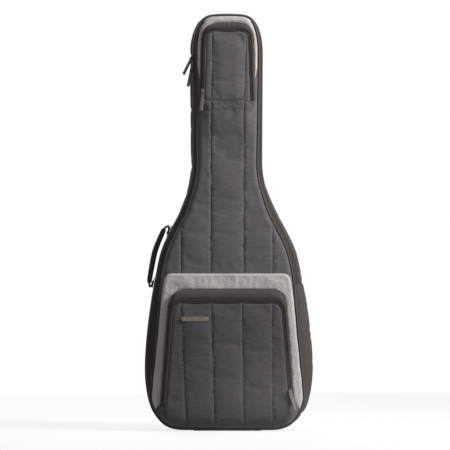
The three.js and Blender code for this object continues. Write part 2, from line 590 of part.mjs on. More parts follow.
function shoulderStrap(hand, side) {
  const strap = new THREE.Group();
  bag.add(strap);
  const down = (x, z) => point(side * x, strapY, z);
  const pad = new THREE.CatmullRomCurve3([
    down(STRAP.topX, STRAP.topZ), down(STRAP.topX + 1, 500), down(STRAP.topX + 6, 410),
    down(STRAP.topX + 9, 330), down(STRAP.lowX, STRAP.padLowZ),
  ]);
  const across = point(1, 0, 0);
  add(`strap_${hand}_pad`, ribbon(pad, across, (t) => 62 - 18 * t * t, STRAP.thick, 12), MELANGE, strap);
  const buckleZ = STRAP.padLowZ - CLEAR - 15;
  add(`strap_${hand}_buckle`, ladderLock().translate(side * STRAP.lowX, strapY, buckleZ), NYLON, strap);
  const webbing = new THREE.LineCurve3(
    down(STRAP.lowX, buckleZ - 15 - CLEAR), down(STRAP.lowX, STRAP.hookZ + 7 + CLEAR));
  add(`strap_${hand}_webbing`, ribbon(webbing, across, () => 25, 2, 2), TRIM, strap);
  add(`strap_${hand}_hook`, snapHook().translate(side * STRAP.lowX, strapY, STRAP.hookZ), GUNMETAL, strap);
  add(`strap_${hand}_tab`, cornerTab().translate(side * STRAP.tabX - 12, 0, 0), TRIM);
  add(`strap_${hand}_ring`, squareRing().translate(side * STRAP.tabX, RING_AXIS.y, RING_AXIS.z), GUNMETAL);
}
shoulderStrap('left', -1);
shoulderStrap('right', 1);

export default bag;
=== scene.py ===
"""Padded gig bag, standing on its base. Lengths in the helpers are millimetres; meshes are made in metres."""
import math

import bpy
import numpy as np
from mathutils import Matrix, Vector
from mathutils.geometry import delaunay_2d_cdt
from mathutils.kdtree import KDTree


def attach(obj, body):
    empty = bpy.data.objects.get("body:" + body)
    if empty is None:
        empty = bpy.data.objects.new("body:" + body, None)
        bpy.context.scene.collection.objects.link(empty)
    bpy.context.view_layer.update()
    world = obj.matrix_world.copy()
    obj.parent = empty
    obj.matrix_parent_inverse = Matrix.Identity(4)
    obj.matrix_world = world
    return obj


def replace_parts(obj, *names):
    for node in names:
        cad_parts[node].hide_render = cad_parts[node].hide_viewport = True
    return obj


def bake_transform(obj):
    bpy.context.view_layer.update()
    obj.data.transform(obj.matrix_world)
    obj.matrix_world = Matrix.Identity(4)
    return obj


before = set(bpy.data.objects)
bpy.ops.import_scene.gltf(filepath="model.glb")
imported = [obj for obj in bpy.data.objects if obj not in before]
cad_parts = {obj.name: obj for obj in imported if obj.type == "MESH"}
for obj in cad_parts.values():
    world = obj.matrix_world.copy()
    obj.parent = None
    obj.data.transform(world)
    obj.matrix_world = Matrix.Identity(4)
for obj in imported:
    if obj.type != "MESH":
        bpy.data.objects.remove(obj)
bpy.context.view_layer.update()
MM = 0.001

# ---------------------------------------------------------------- camera
DISTANCE = 9.0
VIEW_WIDTH = 1.1725
SENSOR = 36
CAMERA_X, CAMERA_Z = -0.0062, 0.5335
camera = bpy.data.objects.new("camera", bpy.data.cameras.new("camera"))
bpy.context.scene.collection.objects.link(camera)
bpy.context.scene.camera = camera
camera.location = (CAMERA_X, -DISTANCE, CAMERA_Z)
camera.rotation_euler = (math.pi / 2, 0, 0)
camera.data.sensor_width = SENSOR
camera.data.lens = SENSOR * DISTANCE / VIEW_WIDTH
camera.data.clip_end = 60

# ---------------------------------------------------------------- the bag's outline, as in the CAD model
# (height, how far the widest part of the side stands outside the front panel's edge)
SIDE_GAP = np.array([
    [0, 8], [80, 10], [112, 19], [170, 28], [250, 31], [330, 28],
    [410, 21], [520, 24], [570, 24], [623, 18], [780, 15.5], [1080, 13]], float)
EDGE_GAP, SEAM_OUT, WALL, TEETH_SHARE, SPLIT_Y = 5, 3, 12, 0.58, -44
TOP, RING = 38, 76
# The right half, from the base up: (control points in x and z, stations in it)
OUTLINE = [
    ([(0, 3), (110, 3)], 2),
    ([(110, 3), (150, 3), (172, 14), (190, 43)], 5),
    ([(190, 43), (204, 61.5), (216, 110), (216, 165)], 5),
    ([(216, 165), (216, 230), (203, 325), (191, 385)], 5),
    ([(191, 385), (185.5, 411), (181, 442), (174, 464)], 2),
    ([(174, 464), (154, 526), (90.5, 600), (91, 700)], 7),
    ([(91, 700), (92.5, 975)], 3),
    ([(92.5, 975), (92.5, 1015), (86, 1044), (72, 1062)], 5),
    ([(72, 1062), (62, 1077), (46, 1080), (0, 1080)], 4),
]


def unit(vectors):
    return vectors / np.maximum(np.linalg.norm(vectors, axis=1), 1e-9)[:, None]


def lengths(points):
    """Distance along a path to each of its points."""
    return np.concatenate([[0], np.cumsum(np.linalg.norm(np.diff(points, axis=0), axis=1))])


def at_depth(flat, y):
    """Points or directions in x and z, at depth y: one number, or one for each."""
    return np.stack([flat[:, 0], np.broadcast_to(y, len(flat)).astype(float), flat[:, 1]], 1)


def between(table, value):
    return np.interp(value, table[:, 0], table[:, 1])


def smoothstep(x, a, b):
    t = np.clip((x - a) / (b - a), 0, 1)
    return t * t * (3 - 2 * t)


def outline_tables():
    """Station number, place and outward direction at close steps up the right half."""
    number, at, out = [], [], []
    start = 0
    for points, divisions in OUTLINE:
        t = np.linspace(0, 1, 40 * divisions, endpoint=False)[:, None]
        p = np.array(points, float)
        if len(p) == 2:
            here, along = p[0] + (p[1] - p[0]) * t, np.repeat([p[1] - p[0]], len(t), 0)
        else:
            here = ((1 - t) ** 3 * p[0] + 3 * (1 - t) ** 2 * t * p[1]
                    + 3 * (1 - t) * t ** 2 * p[2] + t ** 3 * p[3])
            along = (1 - t) ** 2 * (p[1] - p[0]) + 2 * (1 - t) * t * (p[2] - p[1]) + t ** 2 * (p[3] - p[2])
        along = unit(along)
        number.append(start + t[:, 0] * divisions)
        at.append(here)
        out.append(np.stack([along[:, 1], -along[:, 0]], 1))
        start += divisions
    number.append([TOP])
    at.append([[0, 1080]])
    out.append([[0, 1]])
    return np.concatenate(number), np.concatenate(at), np.concatenate(out)


HALF_U, HALF_AT, HALF_OUT = outline_tables()


class Stations:
    """Places along the outline: number u goes up the right side from the base, over the top, down the left."""

    def __init__(self, u):
        self.u = np.atleast_1d(np.asarray(u, float))
        k = np.mod(self.u, RING)
        side = np.where(k <= TOP, 1.0, -1.0)
        k = np.where(k <= TOP, k, RING - k)
        at, out = (np.stack([side * np.interp(k, HALF_U, table[:, 0]), np.interp(k, HALF_U, table[:, 1])], 1)
                   for table in (HALF_AT, HALF_OUT))
        self.at, self.out = at, unit(out)
        self.gap = EDGE_GAP + (between(SIDE_GAP, self.at[:, 1]) - EDGE_GAP) * self.out[:, 0] ** 2

    def flat_rim(self, off):
        """Points in x and z, `off` outside the front panel's edge."""
        return self.at + self.out * (off - self.gap)[:, None]

    def rim(self, off, y):
        return at_depth(self.flat_rim(off), y)

    def bulge(self, share):
        return SEAM_OUT + share * (self.gap - SEAM_OUT)

    def back_edge(self):
        return 0.35 * (self.gap - EDGE_GAP) - 1


def run(u0, u1, step, ring=False):
    """Stations from u0 to u1, about `step` millimetres apart."""
    fine = np.linspace(u0, u1, 4000)
    length = lengths(Stations(fine).at)
    n = max(2, round(length[-1] / step))
    u = np.interp(np.linspace(0, length[-1], n + 1), length, fine)
    return Stations(u[:-1] if ring else u)


def everywhere(step):
    return run(0, RING, step, ring=True)


# ---------------------------------------------------------------- mesh helpers
def make(name, verts, faces, material, uv=None, attributes=None, smooth=True):
    mesh = bpy.data.meshes.new(name)
    mesh.from_pydata((np.asarray(verts, float) * MM).tolist(), [], [list(map(int, f)) for f in faces])
    if uv is not None:
        layer = mesh.uv_layers.new(name="UVMap")
        layer.data.foreach_set("uv", (np.asarray(uv, float) * MM).astype(np.float32).ravel())
    for key, values in (attributes or {}).items():
        attribute = mesh.attributes.new(key, "FLOAT", "POINT")
        attribute.data.foreach_set("value", np.asarray(values, np.float32))
    mesh.update()
    if smooth:
        mesh.shade_smooth()
    mesh.materials.append(material)
    made = bpy.data.objects.new(name, mesh)
    bpy.context.scene.collection.objects.link(made)
    return made


def second_material(piece, material, which):
    piece.data.materials.append(material)
    index = np.zeros(len(piece.data.polygons), np.int32)
    index[which] = 1
    piece.data.polygons.foreach_set("material_index", index)


def volume(verts, faces):
    total = 0.0
    for f in faces:
        a = verts[f[0]]
        for i in range(1, len(f) - 1):
            total += float(np.dot(a, np.cross(verts[f[i]], verts[f[i + 1]])))
    return total


def grid_faces(n, m, ring, closed):
    iu, jv = np.arange(n if ring else n - 1), np.arange(m if closed else m - 1)
    i, j = np.meshgrid(iu, jv, indexing="ij")
    i2, j2 = (i + 1) % n, (j + 1) % m
    return np.stack([i * m + j, i2 * m + j, i2 * m + j2, i * m + j2], -1).reshape(-1, 4), i, j


def loft(name, rows, material, ring=False, attributes=None, smooth=True, turn=False):
    """A solid through closed rows of points (row, point, xyz), with flat ends unless the rows run in a ring."""
    P = np.asarray(rows, float)
    n, m = P.shape[:2]
    quads, i, j = grid_faces(n, m, ring, True)
    along = np.concatenate([P, P[:1]]) if ring else P
    U = np.concatenate([[0], np.cumsum(np.linalg.norm(np.diff(along, axis=0), axis=2).mean(axis=1))])
    across = np.concatenate([P, P[:, :1]], 1)
    V = np.concatenate([[0], np.cumsum(np.linalg.norm(np.diff(across, axis=1), axis=2).mean(axis=0))])
    corner = [(i, j), (i + 1, j), (i + 1, j + 1), (i, j + 1)]
    uv = np.stack([np.stack([U[a], V[b]], -1) for a, b in corner], 2).reshape(-1, 4, 2)
    if turn:
        uv = uv[..., ::-1]
    faces, verts = [list(q) for q in quads], P.reshape(-1, 3)
    uvs = [list(map(tuple, q)) for q in uv]
    if not ring:
        around = [(V[k], 0.0) for k in range(m)]
        faces += [list(range(m))[::-1], list(range((n - 1) * m, n * m))]
        uvs += [around[::-1], around]
    if volume(verts, faces) < 0:
        faces, uvs = [f[::-1] for f in faces], [q[::-1] for q in uvs]
    return make(name, verts, faces, material, [p for q in uvs for p in q], attributes, smooth)


def section(width, thick, power=4.0, count=20):
    """A rounded-rectangle ring of points (across, out)."""
    a = np.linspace(0, 2 * np.pi, count, endpoint=False) + np.pi / count
    c, s = np.cos(a), np.sin(a)
    r = (np.abs(c) ** power + np.abs(s) ** power) ** (-1 / power)
    return np.stack([c * r * width / 2, s * r * thick / 2], 1)


def even(points, count):
    length = lengths(points)
    at = np.linspace(0, length[-1], count)
    return np.stack([np.interp(at, length, points[:, k]) for k in range(points.shape[1])], 1)


def smooth_curve(points, count):
    """A Catmull-Rom curve through the points, evenly spaced."""
    p = np.asarray(points, float)
    q = np.concatenate([[2 * p[0] - p[1]], p, [2 * p[-1] - p[-2]]])
    t = np.linspace(0, 1, 24, endpoint=False)[:, None]
    out = []
    for k in range(len(p) - 1):
        a, b, c, d = q[k:k + 4]
        out.append(0.5 * (2 * b + (c - a) * t + (2 * a - 5 * b + 4 * c - d) * t ** 2
                          + (3 * b - a - 3 * c + d) * t ** 3))
    return even(np.concatenate(out + [[p[-1]]]), count)


def frames_along(path, side):
    """Along, across and out directions at each point of a path; across stays as near to `side` as it can."""
    along = unit(np.gradient(path, axis=0))
    side = np.broadcast_to(np.asarray(side, float), path.shape)
    across = unit(side - along * (along * side).sum(1)[:, None])
    return along, across, np.cross(along, across)


def ribbon(name, path, side, width, thick, material, power=4.0, count=16, round_ends=0.0, turn=False):
    """A strap or pad that follows a path. Width and thick are numbers, or one value for each point."""
    path = np.asarray(path, float)
    along, across, out = frames_along(path, side)
    width, thick = (np.broadcast_to(np.asarray(v, float), len(path)) for v in (width, thick))

    def row(k, past=0.0, narrower=0.0, thinner=1.0):
        ring = section(width[k] - narrower, thick[k] * thinner, power, count)
        return path[k] + along[k] * past + across[k] * ring[:, :1] + out[k] * ring[:, 1:]

    def rounded_end(k, way):
        """Sections past an end of the path, from the tip inwards."""
        return [row(k, way * round_ends * (1 - share), 2 * round_ends * (1 - math.sin(math.acos(1 - share))),
                    0.3 + 0.7 * share) for share in (0.25, 0.62, 0.87)]

    rows = [row(k) for k in range(len(path))]
    if round_ends:
        rows = rounded_end(0, -1) + rows + rounded_end(-1, 1)[::-1]
    return loft(name, np.array(rows), material, turn=turn)


def tube(name, path, radius, material, sides=8):
    along = unit(np.gradient(path, axis=0))
    side = np.where(np.abs(along[:, 1:2]) < 0.8, [[0, 1.0, 0]], [[1.0, 0, 0]])
    _, across, out = frames_along(path, side)
    a = np.linspace(0, 2 * np.pi, sides, endpoint=False)[None, :, None]
    rows = path[:, None] + radius * (across[:, None] * np.cos(a) + out[:, None] * np.sin(a))
    return loft(name, rows, material)


def inside(points, loop):
    """Which 2-D points lie in a closed loop."""
    x, y = points[:, 0][:, None], points[:, 1][:, None]
    a, b = loop[None], np.roll(loop, -1, 0)[None]
    crosses = (a[..., 1] > y) != (b[..., 1] > y)
    with np.errstate(divide="ignore", invalid="ignore"):
        at = a[..., 0] + (y - a[..., 1]) / (b[..., 1] - a[..., 1]) * (b[..., 0] - a[..., 0])
    return (crosses & (x < at)).sum(1) % 2 == 1


def resample(points, step, closed=False):
    p = np.asarray(points, float)
    if closed:
        p = np.concatenate([p, p[:1]])
    length = np.linalg.norm(np.diff(p, axis=0), axis=1).sum()
    made = even(p, max(3, round(length / step)) + 1)
    return made[:-1] if closed else made


def mirrored(right):
    """The same line on the left side, in reverse order."""
    return right[::-1] * [-1, 1]


def search_tree(points):
    tree = KDTree(len(points))
    for k, p in enumerate(points):
        tree.insert((*p, 0), k)
    tree.balance()
    return tree


class Flat:
    """A triangle mesh of a flat shape in x and z, facing -Y: a closed loop with seam lines in it."""

    def __init__(self, loop, lines, step, seam_half=1.2):
        loop = resample(loop, step, closed=True)
        n = len(loop)
        verts, seam_in = list(loop), []
        edges = [(k, (k + 1) % n) for k in range(n)]
        for line in lines:
            line = resample(line, step)
            line = line[inside(line, loop)]
            if len(line) < 3:
                continue
            along = unit(np.gradient(line, axis=0))
            normal = np.stack([-along[:, 1], along[:, 0]], 1)
            for shift in (0, -seam_half, seam_half):
                moved = line + normal * shift
                moved = moved[inside(moved, loop)]
                if len(moved) < 3:
                    continue
                first = len(verts)
                verts += list(moved)
                edges += [(first + k, first + k + 1) for k in range(len(moved) - 1)]
                if shift == 0:
                    seam_in += list(range(first, first + len(moved)))
        near = search_tree(verts)
        lo, hi = loop.min(0), loop.max(0)
        rows = np.arange(lo[1] + 0.4 * step, hi[1], step * 0.87)
        grid = np.array([(x + (0.5 * step if r % 2 else 0), z) for r, z in enumerate(rows)
                         for x in np.arange(lo[0], hi[0], step)])
        grid = grid[inside(grid, loop)]
        verts += [p for p in grid if near.find((*p, 0))[2] > 0.62 * step]
        out = delaunay_2d_cdt([Vector(v) for v in verts], edges, [], 0, 1e-4)
        self.points = np.array([tuple(v) for v in out[0]], float)
        came = {old: new for new, olds in enumerate(out[3]) for old in olds}
        self.border = [came[k] for k in range(n)]
        self.seam, self.edge = np.zeros(len(self.points), bool), np.zeros(len(self.points), bool)
        self.seam[[came[k] for k in seam_in]] = True
        self.edge[self.border] = True
        tris = np.array([f for f in out[2] if len(f) == 3])
        tris = tris[inside(self.points[tris].mean(1), loop)]
        a, b, c = (self.points[tris[:, k]] for k in range(3))
        area = (b[:, 0] - a[:, 0]) * (c[:, 1] - a[:, 1]) - (b[:, 1] - a[:, 1]) * (c[:, 0] - a[:, 0])
        self.tris = np.where((area > 0)[:, None], tris, tris[:, ::-1])

    def skin(self, depth):
        """The shape's points with a depth for each."""
        return at_depth(self.points, depth)

    def far_from_edge(self):
        tree = search_tree(self.points[self.border])
        return np.array([tree.find((*p, 0))[2] for p in self.points])


def rounded(far, radius):
    """0 at an edge, rising in a quarter circle to 1 at `radius` from it."""
    return np.sqrt(1 - (1 - np.clip(far / radius, 0, 1)) ** 2)


def crowned(far, reach):
    """0 at an edge, rising in a parabola to 1 at `reach` from it."""
    return 1 - (1 - np.clip(far / reach, 0, 1)) ** 2


def solid_panel(name, flat, front, back, material, lining=None, facing=-1):
    """A closed panel: a front skin, a back skin and a wall round the edge. Facing -1 is a front towards -Y."""
    n = len(flat.points)
    verts = np.concatenate([front, back])
    tris = flat.tris if facing < 0 else flat.tris[:, ::-1]
    faces = [list(t) for t in tris] + [list(t[::-1] + n) for t in tris]
    ring = flat.border
    loop = flat.points[ring]
    turning = (loop[:, 0] * np.roll(loop[:, 1], -1) - np.roll(loop[:, 0], -1) * loop[:, 1]).sum()
    if turning * -facing < 0:
        ring = ring[::-1]
    m = len(ring)
    faces += [[ring[(k + 1) % m], ring[k], ring[k] + n, ring[(k + 1) % m] + n] for k in range(m)]
    uv = [(verts[v][0], verts[v][2]) for f in faces for v in f]
    made = make(name, verts, faces, material, uv, {"seam": np.concatenate([flat.seam, np.zeros(n)])})
    if lining is not None:
        second_material(made, lining, slice(len(tris), 2 * len(tris)))
    return made


# ---------------------------------------------------------------- cloth simulation
STIFFNESS, BENDING, FRAMES = 12.0, 0.4, 18
waiting = []


class Filled:
    """A skin that simulate() fills out with pressure. No point of .verts moves more than `cap` millimetres."""

    def __init__(self, verts, faces, pinned, pressure, cap, extra):
        self.start = np.asarray(verts, float)
        self.verts = self.start.copy()
        self.faces, self.pinned, self.pressure, self.cap, self.extra = faces, pinned, pressure, cap, extra
        waiting.append(self)


def cloth_object(k, h):
    mesh = bpy.data.meshes.new(f"cloth{k}")
    mesh.from_pydata((h.start * MM).tolist(), [], [list(map(int, f)) for f in h.faces])
    cloth = bpy.data.objects.new(f"cloth{k}", mesh)
    bpy.context.scene.collection.objects.link(cloth)
    group = cloth.vertex_groups.new(name="pin")
    group.add([int(i) for i in np.nonzero(h.pinned)[0]], 1.0, "REPLACE")
    mod = cloth.modifiers.new("Cloth", "CLOTH")
    s = mod.settings
    s.vertex_group_mass = "pin"
    s.quality = 5
    s.mass = 0.3
    s.tension_stiffness = s.compression_stiffness = STIFFNESS
    s.shear_stiffness = STIFFNESS * 0.6
    s.bending_stiffness = BENDING
    s.shrink_min = -h.extra
    s.use_pressure = True
    s.uniform_pressure_force = h.pressure
    s.effector_weights.gravity = 0
    mod.collision_settings.use_collision = False
    mod.collision_settings.use_self_collision = False
    mod.point_cache.frame_start, mod.point_cache.frame_end = 1, FRAMES
    return cloth


def simulate():
    made = [(h, cloth_object(k, h)) for k, h in enumerate(waiting)]
    for f in range(1, FRAMES + 1):
        bpy.context.scene.frame_set(f)
    graph = bpy.context.evaluated_depsgraph_get()
    for h, cloth in made:
        got = np.zeros(len(h.start) * 3, np.float32)
        cloth.evaluated_get(graph).data.vertices.foreach_get("co", got)
        moved = got.reshape(-1, 3).astype(float) / MM - h.start
        length = np.linalg.norm(moved, axis=1)
        limit = h.cap * np.tanh(length / h.cap) / np.maximum(length, 1e-9)
        h.verts = h.start + moved * limit[:, None]
        mesh = cloth.data
        bpy.data.objects.remove(cloth)
        bpy.data.meshes.remove(mesh)
    bpy.context.scene.frame_set(1)


# ---------------------------------------------------------------- materials
class Net:
    """Short way to build a node tree."""

    def __init__(self, name):
        self.material = bpy.data.materials.new(name)
        self.material.use_nodes = True
        self.nodes, self.links = self.material.node_tree.nodes, self.material.node_tree.links
        self.nodes.clear()

    def feed(self, socket, value):
        if isinstance(value, bpy.types.NodeSocket):
            self.links.new(value, socket)
        else:
            socket.default_value = value

    def node(self, kind, out=0, **given):
        """A new node's output. A name given as _x is a property, i0 is the first input, others are by name."""
        made = self.nodes.new("ShaderNode" + kind)
        for key, value in given.items():
            if key.startswith("_"):
                setattr(made, key[1:], value)
            elif key[0] == "i" and key[1:].isdigit():
                self.feed(made.inputs[int(key[1:])], value)
            else:
                self.feed(made.inputs[key.replace("_", " ")], value)
        return made.outputs[out] if len(made.outputs) else None

    def math(self, op, a, b=0.0, clamp=False):
        return self.node("Math", _operation=op, _use_clamp=clamp, i0=a, i1=b)

    def about_half(self, value, gain):
        return self.math("MULTIPLY", self.math("SUBTRACT", value, 0.5), gain)

    def ramp(self, value, stops):
        made = self.nodes.new("ShaderNodeValToRGB")
        self.links.new(value, made.inputs[0])
        for e, (at, grey) in zip(made.color_ramp.elements, stops):
            e.position, e.color = at, (grey, grey, grey, 1)
        return made.outputs[0]

    def split(self, vector):
        made = self.nodes.new("ShaderNodeSeparateXYZ")
        self.links.new(vector, made.inputs[0])
        return made.outputs

    def mix(self, factor, a, b):
        return self.node("Mix", out=2, _data_type="RGBA", i0=factor, i6=a, i7=b)

    def surface(self, **given):
        self.node("OutputMaterial", Surface=self.node("BsdfPrincipled", **given))
        return self.material


def srgb(r, g, b):
    return tuple(((v / 255 + 0.055) / 1.055) ** 2.4 if v > 10 else v / 255 / 12.92 for v in (r, g, b)) + (1.0,)


def fabric(name, dark, light, pitch=1.1, weave=0.5, slub=0.25, mottle=0.15, mottle_size=240, patch=0.12,
           rough=0.88,
           sheen=0.25, bump=0.12, seam_colour=None, twill=False):
    """Woven or felted cloth: two thread directions, slubs along the weft, grain and slow patches of shade."""
    net = Net(name)
    at = net.node("TexCoord", out=2)
    u, v = net.split(at)[:2]
    turn = 2 * math.pi / (pitch * MM)
    if twill:
        u, v = net.math("ADD", u, v), net.math("SUBTRACT", v, net.math("MULTIPLY", u, 0.4))
    warp = net.math("SINE", net.math("MULTIPLY", u, turn))
    weft = net.math("SINE", net.math("MULTIPLY", v, turn))
    threads = net.math("ADD", net.math("MULTIPLY", net.math("MULTIPLY", warp, weft), 0.5), 0.5)
    stretched = net.node("CombineXYZ", X=net.math("MULTIPLY", u, 45), Y=net.math("MULTIPLY", v, 620), Z=0.0)
    slubs = net.node("TexNoise", Vector=stretched, Scale=1.0, Detail=2.0, Roughness=0.6)
    grain = net.node("TexNoise", Vector=at, Scale=float(mottle_size), Detail=3.0, Roughness=0.65)
    patches = net.node("TexNoise", Vector=at, Scale=7.0, Detail=2.0, Roughness=0.5)
    level = net.about_half(slubs, 4.0 * slub)
    for texture, gain in ((grain, 4.0 * mottle), (patches, 4.0 * patch), (threads, 0.35 * weave)):
        level = net.math("ADD", level, net.about_half(texture, gain))
    colour = net.mix(net.math("ADD", level, 0.5, clamp=True), dark, light)
    if seam_colour is not None:
        seam = net.node("Attribute", out=2, _attribute_name="seam")
        colour = net.mix(net.math("MULTIPLY", seam, 0.75, clamp=True), colour, seam_colour)
    height = net.math("ADD", net.math("MULTIPLY", threads, weave), net.math("MULTIPLY", grain, 0.8))
    height = net.math("ADD", height, net.math("MULTIPLY", slubs, 0.6))
    normal = net.node("Bump", Strength=0.55, Distance=bump * MM, Height=height)
    roughness = net.math("ADD", rough - 0.06, net.math("MULTIPLY", grain, 0.12), clamp=True)
    return net.surface(Base_Color=colour, Roughness=roughness, Normal=normal, Sheen_Weight=sheen,
                       Sheen_Roughness=0.45, Sheen_Tint=(1, 1, 1, 1), Specular_IOR_Level=0.25)


def hard(name, colour, edge, rough, metallic=0.0, scale=900.0, bump=0.04):
    """Metal, plastic, rubber or thread: fine and wide marks that change its shade and its shine."""
    net = Net(name)
    at = net.node("TexCoord", out=3)
    fine = net.node("TexNoise", Vector=at, Scale=scale, Detail=4.0, Roughness=0.6)
    wide = net.node("TexNoise", Vector=at, Scale=60.0, Detail=3.0, Roughness=0.55)
    level = net.math("ADD", net.math("MULTIPLY", fine, 0.5), net.math("MULTIPLY", wide, 0.5))
    colour = net.mix(net.ramp(level, [(0.35, 0), (0.68, 1)]), colour, edge)
    roughness = net.math("ADD", rough, net.about_half(wide, 0.22), clamp=True)
    normal = net.node("Bump", Strength=0.5, Distance=bump * MM, Height=fine)
    return net.surface(Base_Color=colour, Roughness=roughness, Metallic=metallic, Normal=normal)


BLACK_THREAD = srgb(26, 25, 26)
MELANGE = fabric("melange_cloth", srgb(64, 63, 66), srgb(110, 108, 109), slub=0.3, mottle=0.16,
                 seam_colour=BLACK_THREAD)
# The large pocket's front is the melange made about a sixth darker: painted shade for the light falling off
# towards the bottom of the bag.
SHADED_POCKET_MELANGE = fabric("pocket_melange_painted_shade", srgb(53, 52, 54), srgb(92, 90, 91), slub=0.3, mottle=0.16,
                      seam_colour=BLACK_THREAD)
SIDE = fabric("side_cloth", srgb(48, 46, 46), srgb(80, 75, 72), slub=0.2, mottle=0.12, sheen=0.1,
              seam_colour=BLACK_THREAD)
FELT = fabric("pale_felt", srgb(134, 129, 127), srgb(212, 206, 203), weave=0.15, slub=0.05, mottle=0.55,
              mottle_size=330, patch=0.1, rough=0.96, sheen=0.4, bump=0.5, seam_colour=srgb(84, 80, 78))
TRIM = fabric("trim_webbing", srgb(24, 23, 23), srgb(50, 47, 46), pitch=2.0, weave=1.0, slub=0.1, mottle=0.1,
              rough=0.7, sheen=0.15, bump=0.25)
PIPING = fabric("piping_cover", srgb(50, 47, 45), srgb(90, 84, 80), pitch=1.4, weave=0.8, slub=0.1, rough=0.75,
                sheen=0.15)
TAPE = fabric("zip_tape", srgb(34, 31, 30), srgb(62, 57, 54), pitch=1.2, weave=0.9, slub=0.1,
              rough=0.75, twill=True)
LINING = fabric("plush_lining", srgb(112, 114, 118), srgb(176, 178, 182), weave=0.1, slub=0.05, mottle=0.5,
                mottle_size=420, rough=0.97, sheen=0.6, bump=0.7, seam_colour=srgb(90, 92, 96))
GRIP = fabric("grip_cloth", srgb(32, 32, 34), srgb(68, 67, 68), pitch=1.6, weave=0.9, slub=0.15, rough=0.72,
              sheen=0.2, bump=0.2)
THREAD = hard("sewing_thread", srgb(34, 33, 33), srgb(70, 68, 67), 0.6, scale=1500.0)
PALE_THREAD = hard("pale_thread", srgb(120, 116, 112), srgb(160, 156, 150), 0.65, scale=1500.0)
RUBBER = hard("guard_rubber", srgb(30, 30, 30), srgb(52, 51, 50), 0.62, scale=1200.0, bump=0.15)
NYLON = hard("moulded_nylon", srgb(24, 24, 24), srgb(44, 43, 42), 0.42, scale=700.0)
ZIP_TEETH = hard("zip_teeth", srgb(40, 36, 34), srgb(74, 66, 62), 0.38, scale=700.0)
GUNMETAL = hard("gunmetal", srgb(98, 92, 88), srgb(142, 134, 130), 0.4, metallic=0.55, scale=500.0)
SATIN = hard("satin_plate", srgb(140, 132, 124), srgb(182, 172, 162), 0.36, metallic=0.7, scale=420.0)


def place(piece, body, slot, *nodes):
    """The piece rides on a body and stands for CAD nodes. The slot is not used."""
    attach(piece, body)
    if nodes:
        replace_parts(piece, *nodes)
    return piece


STITCH_RADIUS, STITCH_LIFT = 0.42, 0.25


def stitches(name, path, normal, body, pitch, length, material=PALE_THREAD):
    """Sewing stitches along a path: short rounded threads, laid on the cloth."""
    path = np.asarray(path, float)
    s = lengths(path)
    at = np.linspace(0, s[-1], max(2, int(s[-1] / pitch)) * 2 + 1)[1::2]

    def sample(values, where):
        return np.stack([np.interp(where, s, values[:, k]) for k in range(3)], 1)

    here = sample(path, at)
    up = unit(sample(np.broadcast_to(np.asarray(normal, float), path.shape), at))
    along = unit(sample(path, np.minimum(at + 0.5, s[-1])) - sample(path, np.maximum(at - 0.5, 0)))
    across = unit(np.cross(along, up))
    up = np.cross(across, along)
    verts, faces = [], []
    half = length / 2
    profile = [(-half, -0.3, 0.35), (-0.55 * half, STITCH_LIFT, 1.0),
               (0.55 * half, STITCH_LIFT, 1.0), (half, -0.3, 0.35)]
    for k in range(len(here)):
        base = len(verts)
        for a, lift, share in profile:
            r = STITCH_RADIUS * share
            for c, d in ((1, 0), (0, 1), (-1, 0), (0, -1)):
                verts.append(here[k] + along[k] * a + up[k] * (lift + d * r) + across[k] * (c * r))
        for q in (base, base + 4, base + 8):
            faces += [[q + e, q + (e + 1) % 4, q + 4 + (e + 1) % 4, q + 4 + e] for e in range(4)]
        faces += [[base + 3, base + 2, base + 1, base], [base + 12, base + 13, base + 14, base + 15]]
    if volume(np.array(verts), faces[:14]) < 0:
        faces = [f[::-1] for f in faces]
    return place(make(name, np.array(verts), faces, material), body, "trim")


# ---------------------------------------------------------------- side panels (gusset)
GUSSETS = {
    "gusset_base": (-7, 7), "gusset_right_lower": (7, 17), "gusset_right_upper": (17, 29),
    "gusset_head": (29, 47), "gusset_left_upper": (47, 59), "gusset_left_lower": (59, 69),
}
SKIN_Y = np.array([-29.4, -27.2, -22, -16, -10, -3, 4, 11, 18, 25, 32, 38, 43, 46.5, 48.3])
SKIN_SHARE = np.interp(SKIN_Y, [-28.2, -10, 14, 32, 46, 50], [0.9, 1, 1, 0.85, 0.5, 0.42])
BACK_TURN_Y, BACK_TURN = 44, 4.3
# The soft sides sag a little to one side: (height, shift in x), most at mid depth.
LEAN = np.array([[0, 0], [50, 5.5], [330, 5.0], [560, 2.0], [680, -2.5], [1000, -4.0], [1060, -2.0], [1080, 0]])
LEAN_SHARE = np.sin(math.pi * (SKIN_Y - SKIN_Y[0]) / (SKIN_Y[-1] - SKIN_Y[0])) ** 0.8


